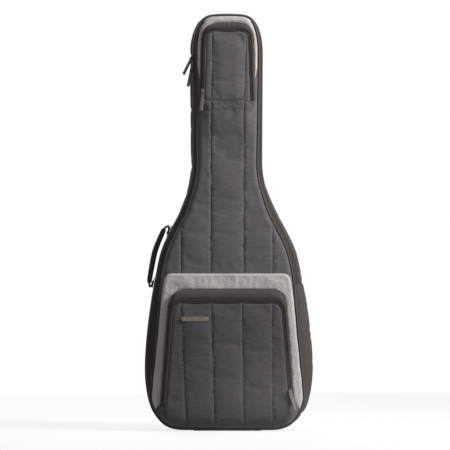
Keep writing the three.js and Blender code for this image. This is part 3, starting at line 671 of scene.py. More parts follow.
def gusset_skin(u0, u1):
    """A side panel's outer skin between two stations, tucked in at its end seams."""
    s = run(u0, u1, 7.0)
    n, m = len(s.u), len(SKIN_Y)
    rows = np.zeros((n, m, 3))
    for j, (y, share) in enumerate(zip(SKIN_Y, SKIN_SHARE)):
        off = s.bulge(share)
        if y > BACK_TURN_Y:
            t = (y - BACK_TURN_Y) / BACK_TURN
            off = off * (1 - t) + (s.back_edge() + 4.2) * t
        rows[:, j] = s.rim(off - (1.4 if j == 0 else 0), y)
    rows[:, :, 0] += between(LEAN, s.at[:, 1])[:, None] * LEAN_SHARE
    ends = np.minimum(np.arange(n), np.arange(n)[::-1])
    rows -= at_depth(s.out, 0)[:, None] * (1.8 * np.exp(-ends / 0.9))[:, None, None]
    quads, _, _ = grid_faces(n, m, False, False)
    flat, middle = rows.reshape(-1, 3), quads[len(quads) // 2]
    a, b, d = flat[middle[[0, 1, 3]]]
    if np.dot(np.cross(b - a, d - a), at_depth(s.out, 0)[middle[0] // m]) < 0:
        quads = quads[:, ::-1]
    pinned = np.zeros((n, m), bool)
    pinned[[0, -1]] = True
    pinned[:, [0, 1, -2, -1]] = True
    return s, rows, Filled(flat, quads, pinned.ravel(), pressure=2.4, cap=2.0, extra=0.012)


gussets = {name: gusset_skin(*span) for name, span in GUSSETS.items()}

# ---------------------------------------------------------------- outlines of what is on the lid
POCKET = dict(hinge=70, depth=27, flap=333, low=161, high=140)
HEAD = dict(hinge=856, depth=14, flap=1035, low=60, high=55)
HEM_Z = 824
FLAP_BEND, WALL_BEND = 26, 32


def straight_line(x_top, z_top, x_low, z_low, count=80):
    t = np.linspace(0, 1, count)[:, None]
    return np.array([[x_top, z_top]]) * (1 - t) + np.array([[x_low, z_low]]) * t


def bent(start, corner, end, count):
    """A curve from start to end, pulled towards a corner."""
    t = np.linspace(0, 1, count)[:, None]
    return (1 - t) ** 2 * start + 2 * (1 - t) * t * corner + t ** 2 * end


def arch(low, high, z_low, z_top, radius, legs=40, bends=14, tops=15):
    """The three zipped sides of a pocket: left leg upwards, over the top, right leg downwards."""
    foot, corner = np.array([low, z_low], float), np.array([high, z_top], float)
    leg_end = corner + (foot - corner) / np.linalg.norm(foot - corner) * radius
    bend = bent(np.array([high - radius, z_top], float), corner, leg_end, bends)
    leg = leg_end + (foot - leg_end) * np.linspace(0, 1, legs)[1:, None]
    top = np.stack([np.linspace(0, high - radius, tops, endpoint=False), np.full(tops, float(z_top))], 1)
    right = np.concatenate([top, bend, leg])
    return np.concatenate([mirrored(right[1:]), right])


def grown(pocket, by, radius):
    """The arch of a pocket's front edge, moved outwards."""
    return arch(pocket["low"] + by, pocket["high"] + by, pocket["hinge"] + 1, pocket["flap"] + by, radius)


LARGE_FOOT = arch(171, 148, 71, 366, 40)
SMALL_FOOT = arch(72, 65, 857, 1057, 46)
BAND_INSET = -1.2
band_corner = bent(np.array([165.0, 388]), np.array([162.0, 408]), np.array([142.0, 408]), 10)
band_right = np.concatenate([run(7.6, 16, 6).flat_rim(BAND_INSET), band_corner])
band_outer = np.concatenate([band_right, mirrored(band_right)])
BODY_BAND = np.concatenate([band_outer, LARGE_FOOT])
COVERED = np.concatenate([band_outer, [[-150, 20], [150, 20]]])
head_right = run(28.6, 38, 5).flat_rim(BAND_INSET)
HEAD_BAND_Z = 905
HEAD_BAND = np.concatenate([head_right, mirrored(head_right[:-1]), SMALL_FOOT[SMALL_FOOT[:, 1] > HEAD_BAND_Z]])

edge_line = Stations(np.linspace(0, TOP, 800)).flat_rim(0)
LIFT = np.array([[0, 3.0], [120, 5.5], [330, 6.5], [560, 5.0], [700, 3.6], [1080, 3.2]])


def dome(p, power=5.0):
    """How far the padded lid stands proud at (x, z): nothing at its edge, most in the middle."""
    x, z = p[:, 0], p[:, 1]
    wide = np.interp(z, edge_line[:, 1], edge_line[:, 0])
    near_top = np.clip((edge_line[-1, 1] - z) / 30, 0, 1)
    near_base = np.clip((z - 3) / 30, 0, 1)
    ends = np.sqrt(near_top * (2 - near_top)) * np.sqrt(near_base * (2 - near_base))
    return between(LIFT, z) * (1 - np.clip(np.abs(x) / np.maximum(wide, 1), 0, 1) ** power) * ends


def swell(p):
    """How far the lid also swells below the head pocket, so that the pocket's hem runs into it."""
    x, z = np.abs(p[:, 0]), p[:, 1]
    return 8.0 * smoothstep(z, 725, 835) * (1 - smoothstep(z, 838, 860)) * (1 - smoothstep(x, 44, 76))


# ---------------------------------------------------------------- lid panel
LID_EDGE_Y, LID_BACK_Y = -57.4, -51.0
LID_SEAMS = [(-119.6, -119.6), (-41.5, -43.0), (42.4, 42.4), (117.5, 117.5)]
lid_flat = Flat(everywhere(6.0).flat_rim(0.6), [straight_line(a, 1070, b, 8) for a, b in LID_SEAMS], 7.5)
pts = lid_flat.points
under_pockets = inside(pts, COVERED) | inside(pts, COVERED + [0, 14]) | (pts[:, 1] < 60)
under_pockets |= inside(pts, np.concatenate([SMALL_FOOT * [0.97, 1], [[62, 830], [-62, 830]]]))
lid_front = lid_flat.skin(LID_EDGE_Y - 2.4 * rounded(lid_flat.far_from_edge(), 5.0))
lid_front[:, 1] += np.where(lid_flat.seam, 0.9, 0) - dome(pts) - swell(pts)
lid_skin = Filled(lid_front, lid_flat.tris, lid_flat.edge | lid_flat.seam | under_pockets,
                  pressure=1.6, cap=3.2, extra=0.012)

# ---------------------------------------------------------------- pocket fronts
POCKET_SEAMS = [(-119.6, -106), (-41.5, -32.6), (38, 42.5), (116, 117.3)]
POCKET_FOOT_Y, HEAD_FACE_Y = -64, -74.0
WING, WING_X = np.array([[168, 66.0], [177, 61.0]]), 185.5
BASE_INSET = 3.2


def lower_edge(x):
    """Height of the front panel's lower edge at x."""
    p = Stations(np.linspace(0, 17, 400)).flat_rim(0)
    p = p[:np.argmax(p[:, 0]) + 1]
    return np.interp(np.abs(x), p[:, 0], p[:, 1])


def pocket_depth(p):
    """Depth of the large pocket's front: flat above the fold, bellied below it."""
    x, z = p[:, 0], p[:, 1]
    edge = smoothstep(np.abs(x), 156, 184)
    low, high = lower_edge(x) + BASE_INSET, POCKET["hinge"] - 12 * edge
    deep = (POCKET["depth"] - 4) * (1 - edge) + 0.5 * edge
    h = np.clip((z - low) / np.maximum(high - low, 1), 0, 1)
    return POCKET_FOOT_Y - np.interp(h, [0, 0.12, 0.4, 0.75, 1], [0, 0.5, 0.85, 0.97, 1]) * deep


def head_depth(p):
    """Depth of the head pocket's front: its hem runs into the lid."""
    foot = -58.8 - dome(p) - swell(p)
    return foot + (HEAD_FACE_Y - foot) * smoothstep(p[:, 1], HEM_Z - 2, 857)


def front_skin(flat, depth, fold_z, roll, seam_in, crown, **cloth):
    """A pocket front's skin: rolled edges (radius, depth), sunk seams and a crown (height, reach)."""
    far = flat.far_from_edge()
    skin = flat.skin(depth)
    skin[:, 1] += np.where(flat.points[:, 1] > fold_z, roll[1] * (1 - rounded(far, roll[0])), 0)
    skin[:, 1] += np.where(flat.seam, seam_in, 0)
    skin[:, 1] -= crown[0] * crowned(far, crown[1])
    return Filled(skin, flat.tris, flat.edge | flat.seam, **cloth)


wing_x = np.linspace(WING_X, -WING_X, 90)
base_curve = np.stack([wing_x, lower_edge(wing_x) + BASE_INSET], 1)
pocket_loop = np.concatenate([grown(POCKET, 0.4, FLAP_BEND), WING, base_curve, mirrored(WING)])
pocket_flat = Flat(pocket_loop, [straight_line(a, 331, b, 12) for a, b in POCKET_SEAMS], 7.0)
pocket_skin = front_skin(pocket_flat, pocket_depth(pocket_flat.points), POCKET["hinge"], (6.0, 2.0), 0.7,
                         (4.5, 100.0), pressure=2.0, cap=3.2, extra=0.011)

hem = np.array([[62.5, 852.0], [69, 843.0], [66, HEM_Z], [-66, HEM_Z], [-66, 848.0], [-62.5, 853.0]])
HEAD_SEAMS = [straight_line(-38.5, 1033, -41, HEM_Z + 2), straight_line(50, 1033, 42.6, HEM_Z + 2),
              np.array([[-60.0, 856.5], [46.0, 856.5], [55, 852.5], [66.0, 845.0]])]
head_flat = Flat(np.concatenate([grown(HEAD, 0.4, FLAP_BEND), hem]), HEAD_SEAMS, 5.5, seam_half=1.3)
head_skin = front_skin(head_flat, head_depth(head_flat.points), HEAD["hinge"] + 1, (5.0, 1.6), 0.9,
                       (2.5, 50.0), pressure=2.0, cap=3.0, extra=0.015)

# ---------------------------------------------------------------- felt bands
FELT_Y = -60.4
felts = {}
for key, loop, step in (("body", BODY_BAND, 6.0), ("head", HEAD_BAND, 5.0)):
    flat = Flat(loop, [], step)
    front = flat.skin(FELT_Y - 1.7 * rounded(flat.far_from_edge(), 5.0) - dome(flat.points))
    felts[key] = (flat, Filled(front, flat.tris, flat.edge, pressure=1.5, cap=2.4, extra=0.02))

# ---------------------------------------------------------------- back panel
BACK_EDGE_Y, BACK_INNER_Y = 56.6, 48.0
back_stations = everywhere(7.0)
BACK_SEAMS = [straight_line(x, 1060, x, 14) for x in (-110, 110)]
BACK_SEAMS += [np.array([[-170.0, 330.0], [170.0, 330.0]]), np.array([[-90.0, 760.0], [90.0, 760.0]])]
back_flat = Flat(back_stations.flat_rim(back_stations.back_edge() + 0.8), BACK_SEAMS, 9.0, seam_half=2.0)
back_skin = back_flat.skin(BACK_EDGE_Y + 3.0 * rounded(back_flat.far_from_edge(), 6.0))
back_skin[:, 1] -= np.where(back_flat.seam, 1.8, 0)
back_hold = Filled(back_skin, back_flat.tris[:, ::-1], back_flat.edge | back_flat.seam,
                   pressure=1.5, cap=0.9, extra=0.01)

simulate()

# ---------------------------------------------------------------- shell pieces
for name, (s, rows, hold) in gussets.items():
    n, m = rows.shape[:2]
    inner = rows - at_depth(s.out, 0)[:, None] * (WALL - 1.5)
    inner[:, 0, 1] += 2.0
    inner[:, -1, 1] -= 1.0
    seam = np.zeros((n, 2 * m))
    seam[[0, -1], :m] = 1
    seam[[1, -2], :m] = 0.25
    skins = np.concatenate([hold.verts.reshape(n, m, 3), inner[:, ::-1]], 1)
    cloth = loft(f"{name}_cloth", skins, SIDE, attributes={"seam": seam.ravel()})
    face = np.arange((n - 1) * 2 * m)
    second_material(cloth, LINING, face[(face % (2 * m) >= m) & (face % (2 * m) < 2 * m - 1)])
    place(cloth, "shell", "side_cloth", name)

ZIPPED, UNZIPPED = (17, 84), (8, 17)
TOOTH_STEP = 1.35
MAIN_TOOTH, POCKET_TOOTH = (1.45, 3.6, 2.4), (1.45, 3.2, 1.9)


def tape_rows(s, corners, thick):
    """A cloth strip along the outline through (off, y) corners, `thick` through."""
    outer = np.stack([s.rim(off, y) for off, y in corners], 1)
    return np.concatenate([outer, (outer - at_depth(s.out, 0)[:, None] * thick)[:, ::-1]], 1)


def shell_corners(s):
    at = [(-42.2, 0.60), (-39, 0.70), (-35.5, 0.79), (-32, 0.86), (-29.5, 0.905), (-27.8, 0.925)]
    return [(s.bulge(share) + (0.5 if y > -31 else 0), y) for y, share in at]


def lid_corners(s):
    a, b = 4.4, s.bulge(TEETH_SHARE - 0.04) + 0.6
    return [(a + (b - a) * k, -54.2 + 8.4 * k) for k in (0, 0.25, 0.5, 0.75, 1)]


zs = run(*ZIPPED, 6.0)
tape_shell = loft("main_zip_tape_outer", tape_rows(zs, shell_corners(zs), 1.8), TAPE)
place(tape_shell, "shell", "trim", "main_zip_tape_shell")
tape_lid = loft("main_zip_tape_inner", tape_rows(zs, lid_corners(zs), 1.8), TAPE)
place(tape_lid, "lid", "trim", "main_zip_tape_lid")


def teeth(name, centre, along, reach, size, body, *nodes):
    """A row of moulded teeth. Reach points from the tape towards the other row; size is (along, reach, up)."""
    up = np.cross(along, reach)
    c = np.array([(a * size[0] / 2 * shrink, r * size[1], u * size[2] / 2 * (shrink if r > 0.3 else 1))
                  for r, shrink in ((-0.5, 1.0), (0.2, 0.95), (0.5, 0.6))
                  for a, u in ((-1, -1), (1, -1), (1, 1), (-1, 1))])[None]
    verts = (centre[:, None] + along[:, None] * c[..., :1] + reach[:, None] * c[..., 1:2]
             + up[:, None] * c[..., 2:]).reshape(-1, 3)
    one = [[3, 2, 1, 0], [8, 9, 10, 11]]
    for level in (0, 4):
        one += [[level + e, level + (e + 1) % 4, level + 4 + (e + 1) % 4, level + 4 + e] for e in range(4)]
    if volume(verts[:12], one) < 0:
        one = [f[::-1] for f in one]
    faces = (np.array(one)[None] + 12 * np.arange(len(centre))[:, None, None]).reshape(-1, 4)
    return place(make(name, verts, faces, ZIP_TEETH, smooth=False), body, "nylon", *nodes)


ts = run(*ZIPPED, TOOTH_STEP)
zip_along = at_depth(np.stack([-ts.out[:, 1], ts.out[:, 0]], 1), 0)
for name, body, start, sign, y, share in (("outer", "shell", 0, -1.0, -42.6, TEETH_SHARE + 0.03),
                                          ("inner", "lid", 1, 1.0, -45.4, TEETH_SHARE - 0.02)):
    centre = ts.rim(ts.bulge(share) - 0.4, y)[start::2]
    reach = np.repeat([[0.0, sign, 0.0]], len(centre), 0)
    teeth(f"main_zip_teeth_{name}", centre, zip_along[start::2], reach, MAIN_TOOTH, body,
          f"main_zip_teeth_{body}")

# The unzipped stretch: one cloth from the shell to the lid.
hs = run(*UNZIPPED, 6.0)
hinge_corners = lid_corners(hs) + [(hs.bulge(TEETH_SHARE), SPLIT_Y)] + shell_corners(hs)
hinge_cloth = loft("hinge_strip_cloth", tape_rows(hs, hinge_corners, 2.0), SIDE)
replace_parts(hinge_cloth, "hinge_strip_shell", "hinge_strip_lid")
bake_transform(hinge_cloth)


def piping(name, s, off, y, body, node, radius=2.5, sides=9):
    """A covered cord along the outline, slightly uneven."""
    wobble = 1 + 0.03 * np.sin(s.u * 9.1) * np.cos(s.u * 23.7)
    rows = [s.rim(off + radius * wobble * math.cos(a), y + radius * math.sin(a))
            for a in np.linspace(0, 2 * np.pi, sides, endpoint=False)]
    place(loft(name, np.stack(rows, 1), PIPING, ring=True), body, "trim", node)


ring_s = everywhere(4.5)
piping("lid_piping_cord", ring_s, SEAM_OUT, -56.5, "lid", "lid_piping")
piping("back_piping_cord", ring_s, ring_s.back_edge() + 3.1, 51, "shell", "back_piping")

back_panel = solid_panel("back_panel_cloth", back_flat, back_hold.verts, back_flat.skin(BACK_INNER_Y),
                         MELANGE, facing=1)
place(back_panel, "shell", "melange", "back_panel")

QUILT = [straight_line(x, 1060, x, 10) for x in (-130, -65, 0, 65, 130)]


def lining(name, off, front, depth, facing, node, body):
    """A quilted plush pad, off the front panel's edge by `off`."""
    flat = Flat(quilt_stations.flat_rim(off), QUILT, 10.0, seam_half=2.5)
    crown = 2.2 * rounded(flat.far_from_edge(), 6.0) - np.where(flat.seam, 2.0, 0)
    skin = flat.skin(front + facing * (crown - 2.4))
    piece = solid_panel(name, flat, skin, flat.skin(depth), LINING, facing=facing)
    place(piece, body, "lining", node)


quilt_stations = everywhere(9.0)
lining("back_lining_plush", quilt_stations.back_edge() - 16, 38.0, 47.7, -1, "back_lining_pad", "shell")
lining("lid_lining_plush", -5.0, -45.0, -50.8, 1, "lid_lining_pad", "lid")


def neck_cradle():
    """A padded block with a round notch for the neck, with eased upper and lower edges."""
    wide, front, back_y, notch = 58, -1.6, 37.5, 28.6
    a = np.linspace(0, math.pi, 24)
    arc = np.stack([notch * np.cos(a), front + notch * np.sin(a)], 1)
    loop = np.concatenate([[[-wide, back_y], [wide, back_y], [wide, front]], arc, [[-wide, front]]])
    loop = resample(loop, 4.0, closed=True)
    along = np.roll(loop, -1, 0) - np.roll(loop, 1, 0)
    normal = unit(np.stack([along[:, 1], -along[:, 0]], 1))
    levels = ((690.3, 4.0), (691, 2.0), (693.5, 0.4), (700, 0.0), (720, 0.3), (740, 0.0),
              (746.5, 0.4), (749, 2.0), (749.7, 4.0))
    rows = [np.column_stack([loop - normal * inset, np.full(len(loop), z)]) for z, inset in levels]
    return loft("neck_cradle_plush", rows, LINING)


place(neck_cradle(), "shell", "lining", "neck_cradle")
strap_x = np.linspace(-56, 56, 30)
neck_path = np.stack([strap_x, -3.3 - 0.5 * np.cos(strap_x / 20), np.full(30, 720.0)], 1)
place(ribbon("neck_strap_webbing", neck_path, (0, 0, 1), 37.5, 1.7, TRIM), "shell", "trim", "neck_strap")

# ---------------------------------------------------------------- lid pieces
lid_piece = solid_panel("lid_panel_cloth", lid_flat, lid_skin.verts, lid_flat.skin(LID_BACK_Y), MELANGE)
place(lid_piece, "lid", "melange", "lid_panel")
for key, (flat, hold) in felts.items():
    piece = solid_panel(f"{key}_felt_cloth", flat, hold.verts, flat.skin(-59.9 - 0.9 * dome(flat.points)), FELT)
    place(piece, "lid", "pale_felt", f"{key}_felt_band")


def pocket_wall(name, foot, pocket, middle_z, node, flare):
    """The cloth between the lid and a pocket's zip, wider at its foot, with slight ripples."""
    front = grown(pocket, 9.2, WALL_BEND)
    inward = unit(np.array([0.0, middle_z]) - front)
    raised = dome(foot)
    n, across = len(foot), np.linspace(0, 1, 9)
    rows = np.zeros((n, 18, 3))
    for j, t in enumerate(across):
        p = foot + (front - foot) * (t ** flare)
        y = -59.8 - raised * (1 - t) - (pocket["depth"] - 2.0) * math.sin(t * math.pi / 2) ** 0.9
        rows[:, j] = at_depth(p, y)
        rows[:, 17 - j] = at_depth(p + inward * (1.8 + 0.8 * (1 - t)), y + 0.8)
    rows[:, :9, 1] += 0.5 * np.sin(np.arange(n) * 0.9)[:, None] * np.sin(across * math.pi)[None]
    seam = np.zeros((n, 18))
    seam[:, 0] = seam[:, 8] = 1
    place(loft(name, rows, SIDE, attributes={"seam": seam.ravel()}), "lid", "side_cloth", node)


def zip_round(prefix, pocket):
    """The zip round a pocket's front: tapes and teeth on the wall's and the front's side, and a binding."""
    face, flap = -60.0 - pocket["depth"], f"{prefix}_flap"

    def strip(side, a, b, bend, rise, body, thick=0.9, n=220):
        outer = at_depth(even(grown(pocket, a, bend), n), face + rise)
        inner = at_depth(even(grown(pocket, b, FLAP_BEND), n), face + 0.9)
        rows = np.stack([outer, inner, inner + [0, thick, 0], outer + [0, thick, 0]], 1)
        place(loft(f"{prefix}_zip_tape_{side}", rows, TAPE), body, "trim")

    strip("outer", 9.4, 4.6, 30, 1.6, "lid")
    strip("inner", 2.6, -2.0, FLAP_BEND, 0.9, flap)
    line = grown(pocket, 3.6, FLAP_BEND)
    path = even(line, int(lengths(line)[-1] / 1.4))
    d = unit(np.gradient(path, axis=0))
    along, normal = at_depth(d, 0), at_depth(np.stack([-d[:, 1], d[:, 0]], 1), 0)
    if normal[len(d) // 2][2] < 0:
        normal = -normal
    centre = at_depth(path, face + 0.4)
    teeth(f"{prefix}_zip_teeth_outer", (centre + normal)[0::2], along[0::2], -normal[0::2], POCKET_TOOTH, "lid",
          f"{prefix}_zip_teeth")
    teeth(f"{prefix}_zip_teeth_inner", (centre - normal)[1::2], along[1::2], normal[1::2], POCKET_TOOTH, flap)
    edge = at_depth(even(grown(pocket, 0.6, FLAP_BEND), 200), face + 1.1)
    place(tube(f"{prefix}_flap_binding", edge, 1.5, PIPING, 7), flap, "trim")


pocket_wall("pocket_wall_cloth", LARGE_FOOT, POCKET, 200, "pocket_wall", 1.45)
pocket_wall("head_pocket_wall_cloth", SMALL_FOOT, HEAD, 930, "head_pocket_wall", 1.2)
zip_round("pocket", POCKET)
zip_round("head_pocket", HEAD)

# The large pocket's front takes the darker melange, which is painted shade.
pocket_piece = solid_panel("pocket_front_cloth", pocket_flat, pocket_skin.verts,
                           pocket_skin.verts + [0, 3.0, 0], SHADED_POCKET_MELANGE, lining=LINING)
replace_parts(pocket_piece, "pocket_flap", "pocket_skirt")
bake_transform(pocket_piece)
head_piece = solid_panel("head_pocket_front_cloth", head_flat, head_skin.verts, head_skin.verts + [0, 1.6, 0],
                         MELANGE, lining=LINING)
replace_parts(head_piece, "head_pocket_flap", "head_pocket_hem")
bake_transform(head_piece)

BADGE_X, BADGE_Z = -84, 291


def badge_plate(y, width=70, height=11, thick=1.4, radius=4.5, bevel=0.5):
    """A blank rounded plate facing -Y, with its edges eased."""
    rows = []
    for inset, depth in ((bevel, 0), (0, -bevel), (0, bevel - thick), (bevel, -thick), (bevel + 1.2, -thick),
                         (bevel + 1.5, 0.35 - thick)):
        w, h, r = width / 2 - inset, height / 2 - inset, max(radius - inset, 0.3)
        corners = ((w - r, h - r, 0), (r - w, h - r, 90), (r - w, r - h, 180), (w - r, r - h, 270))
        p = np.array([(cx + r * math.cos(a), cz + r * math.sin(a)) for cx, cz, a0 in corners
                      for a in np.radians(np.linspace(a0, a0 + 90, 7))])
        rows.append(at_depth([BADGE_X, BADGE_Z] + p, y + depth))
    return loft("badge_plate", rows, SATIN, smooth=False)


near_badge = np.argmin(np.abs(pocket_flat.points - [BADGE_X, BADGE_Z]).sum(1))
place(badge_plate(pocket_skin.verts[near_badge][1] + 0.2), "pocket_flap", "satin", "blank_badge")

# ---------------------------------------------------------------- nodes kept from the CAD model
# Each zip, and how thick the sleeve round its pull is.
ZIPS = {"main_zip_upper": 5.0, "main_zip_lower": 5.0, "pocket_zip": 3.3, "head_pocket_zip": 3.3}
KEPT = {"base_guard": RUBBER}
for zip_name in ZIPS:
    KEPT[f"{zip_name}_slider"] = KEPT[f"{zip_name}_pull"] = GUNMETAL
for hand in ("left", "right"):
    KEPT[f"strap_{hand}_buckle"] = NYLON
    KEPT[f"strap_{hand}_hook"] = KEPT[f"strap_{hand}_ring"] = GUNMETAL
for node, material in KEPT.items():
    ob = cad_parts[node]
    ob.data.materials.clear()
    ob.data.materials.append(material)
    for polygon in ob.data.polygons:
        polygon.material_index = 0
    bevel = ob.modifiers.new("eased", "BEVEL")
    bevel.width, bevel.segments, bevel.limit_method, bevel.angle_limit = 0.00045, 2, "ANGLE", math.radians(32)


def pull_sleeve(node, thick):
    """A moulded sleeve round a zip pull's tab, along the CAD node's own axes."""
    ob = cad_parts[node]
    p = np.array([tuple(ob.matrix_world @ v.co) for v in ob.data.vertices]) / MM
    along, across, _ = np.linalg.svd(p - p.mean(0), full_matrices=False)[2]
    along = -along if along[2] > 0 else along
    reach = p @ along
    eye, tip = reach.min(), reach.max()
    tab = p[reach > eye + 14]
    middle = np.zeros(3)
    for axis in (across, np.cross(along, across)):
        middle = middle + axis * ((tab @ axis).min() + (tab @ axis).max()) / 2
    at = np.linspace(eye + 15, tip - 1.2, 14)
    wide = np.interp(at, [at[0], at[3], at[-1]], [7.9, 9.0, 9.3])
    path = middle + along * at[:, None]
    sleeve = ribbon(f"{node}_sleeve", path, across, wide, thick, GUNMETAL, power=3.4, count=20, round_ends=1.8)
    place(sleeve, node, "gunmetal")


for zip_name, thick in ZIPS.items():
    pull_sleeve(f"{zip_name}_pull", thick)

# ---------------------------------------------------------------- side handle
LOWER = (HALF_AT[:, 0] > 100) & (HALF_U > 7)
# Each point is (height, how far outside the side panel).
GRIP_LINE = ((382, 12.2), (422, 13.4), (466, 14.2), (515, 15.6))
HANDLE_LOOPS = {"upper": ((508, 15.6), (520, 14.6), (526, 8.8), (519, 3.6), (509, 2.6)),
                "lower": ((390, 12.2), (377, 11.0), (371.5, 6.8), (378, 3.4), (388, 2.6))}
HANDLE_PATCHES = (("handle_patch_top", 517, "handle_patch_upper"),
                  ("handle_patch_base", 383, "handle_patch_lower"))
Y_AXIS = (0, 1, 0)


def left_side(z, off):
    """The place at height z, `off` outside the left side panel."""
    at, out = HALF_AT[LOWER], HALF_OUT[LOWER]
    order = np.argsort(at[:, 1])
    x = np.interp(z, at[order, 1], at[order, 0])
    n = np.array([np.interp(z, at[order, 1], out[order, k]) for k in (0, 1)])
    n /= np.linalg.norm(n)
    return (-x - n[0] * off, 0.0, z + n[1] * off)


def outwards(path, side, axis, sign):
    """Across and out directions along a path, with out turned to the sign's way on an axis."""
    _, across, out = frames_along(path, side)
    return across, (out if out[0][axis] * sign > 0 else -out)


grip_path = smooth_curve([left_side(*p) for p in GRIP_LINE], 26)
grip_arc = np.sin(math.pi * np.linspace(0, 1, 26))
grip = ribbon("handle_grip_pad", grip_path, Y_AXIS, 26 * (0.88 + 0.12 * grip_arc),
              11.6 + 3.0 * grip_arc ** 0.6, GRIP, power=3.2, count=24, round_ends=3.0)
place(grip, "shell", "rubber", "handle_grip")
g_across, away = (v[1:-1] for v in outwards(grip_path, Y_AXIS, 0, -1))
for k, sgn in enumerate((-1, 1)):
    seam_path = grip_path[1:-1] + g_across * (sgn * 9.6) + away * 6.3
    stitches(f"handle_stitches_{k}", seam_path, away, "shell", pitch=4.0, length=2.6)
    edge_path = grip_path[1:-1] + g_across * (sgn * 12.6) + away * 1.0
    place(tube(f"handle_piping_{k}", edge_path, 1.1, PIPING, 7), "shell", "trim")
for end, line in HANDLE_LOOPS.items():
    path = smooth_curve([left_side(*p) for p in line], 22)
    webbing = ribbon(f"handle_webbing_{end}", path, Y_AXIS, 22, 5.6, GRIP, turn=True)
    place(webbing, "shell", "trim", f"handle_loop_{end}")
for name, middle_z, node in HANDLE_PATCHES:
    path = np.array([left_side(z, 1.3) for z in np.linspace(middle_z - 14, middle_z + 14, 8)])
    place(ribbon(name, path, Y_AXIS, 36, 1.5, TRIM, power=8), "shell", "trim", node)
    p_across, p_out = (v[1:-1] for v in outwards(path, Y_AXIS, 0, -1))
    for k, sgn in enumerate((-1, 1)):
        stitches(f"{name}_stitches_{k}", path[1:-1] + p_across * (15.5 * sgn) + p_out * 0.8, p_out, "shell",
                 pitch=3.6, length=2.4, material=THREAD)

# ---------------------------------------------------------------- grab loop at the head, and the sewn patches
loop_right = [(12, 70, 972), (24, 70, 995), (24, 70, 1024), (24, 66, 1034)]
loop_path = smooth_curve([(-x, y, z) for x, y, z in loop_right[::-1]] + loop_right, 60)
grab = ribbon("grab_loop_webbing", loop_path, Y_AXIS, 12.2, 9.2, TRIM, power=2.6, count=18, turn=True)
place(grab, "grab_loop", "trim", "grab_loop")
loop_across = frames_along(loop_path, Y_AXIS)[1][4:-4]
stitches("grab_loop_stitches", loop_path[4:-4] + loop_across * 6.1, loop_across, "grab_loop",
         pitch=4.0, length=2.6)


def back_patch(name, loop, thick, node, y=59.8, stitch=3.0):
    """A sewn patch on the back, with a raised middle."""
    p = np.array(loop, float)
    flat = Flat(p, [], 5.0)
    skin = flat.skin(y + thick * (0.45 + 0.55 * rounded(flat.far_from_edge(), 3.0)))
    place(solid_panel(name, flat, skin, flat.skin(y - 0.6), TRIM, facing=1), "shell", "trim", node)
    centre = p.mean(0)
    inner = centre + (p - centre) * (1 - stitch / np.linalg.norm(p - centre, axis=1))[:, None]
    path = at_depth(even(np.concatenate([inner, inner[:1]]), 160), y + thick + 0.1)
    stitches(f"{name}_stitches", path, Y_AXIS, "shell", pitch=3.8, length=2.5)


GRAB_PATCH = [(-37, 1016), (37, 1016), (38, 1032), (37, 1048.5), (-37, 1048.5), (-38, 1032)]
back_patch("grab_patch_cloth", GRAB_PATCH, 2.6, "grab_patch")
STRAP_YOKE = [(-84, 588), (0, 588), (84, 588), (77, 611), (70, 634), (0, 634), (-70, 634), (-77, 611)]
back_patch("strap_yoke_cloth", STRAP_YOKE, 3.4, "strap_yoke")

# ---------------------------------------------------------------- shoulder straps
STRAP_Y = 66.8
X_AXIS = (1, 0, 0)
WEBBING_X, TAB_X = 54.0, 146.0
STRAP_LINE = [(44, 580), (45, 500), (50, 410), (53, 330), (54, 268)]
ROOT_LINE = [(62.6, 612), (64.6, 598), (66.4, 586), (66.9, 572)]


def arc(y, z, radius, from_angle, to_angle, count=7):
    return [(y + radius * math.cos(a), z + radius * math.sin(a))
            for a in np.radians(np.linspace(from_angle, to_angle, count))]


def band_loop(name, x, points, body):
    """A webbing sewn into a closed loop round two bars; points are (y, z)."""
    p = np.array([(x, y, z) for y, z in points], float)
    closed = even(np.concatenate([p, p[:1]]), 49)[:-1]
    along = unit(np.roll(closed, -1, 0) - np.roll(closed, 1, 0))
    across = np.repeat([[1.0, 0, 0]], len(closed), 0)
    q = section(25, 1.5, 6, 12)
    rows = closed[:, None] + across[:, None] * q[:, :1] + np.cross(along, across)[:, None] * q[:, 1:]
    return place(loft(name, rows, TRIM, ring=True, turn=True), body, "trim")


def shoulder_strap(hand, sgn):
    """The quilted pad with its bindings and stitches, and the webbing sewn over it."""
    body = f"strap_{hand}"
    path = smooth_curve([(sgn * x, STRAP_Y, z) for x, z in STRAP_LINE], 60)
    t = np.linspace(0, 1, 60)
    wide = 61 - 18 * t ** 2
    quilting = 0.8 * np.abs(np.sin(t * math.pi * 9)) ** 0.35
    pad = ribbon(f"{body}_pad_cloth", path, X_AXIS, wide, 9.6 + quilting, MELANGE,
                 power=3.0, count=28, round_ends=4.0)
    place(pad, body, "melange", f"{body}_pad")
    across, away = outwards(path, X_AXIS, 1, 1)
    for k, side in enumerate((-1, 1)):
        edge_path = path[1:-1] + across[1:-1] * (side * (wide[1:-1] / 2 - 0.4))[:, None]
        place(tube(f"{body}_binding_{k}", edge_path, 1.9, PIPING, 8), body, "trim")
        seam_path = path[2:-2] + across[2:-2] * (side * 11.0) + away[2:-2] * 6.6
        stitches(f"{body}_stitches_{k}", seam_path, away[2:-2], body, pitch=4.5, length=3.0)
    place(ribbon(f"{body}_overlay", path[1:] + away[1:] * 5.6, X_AXIS, 25, 1.6, TRIM, power=6), body, "trim")


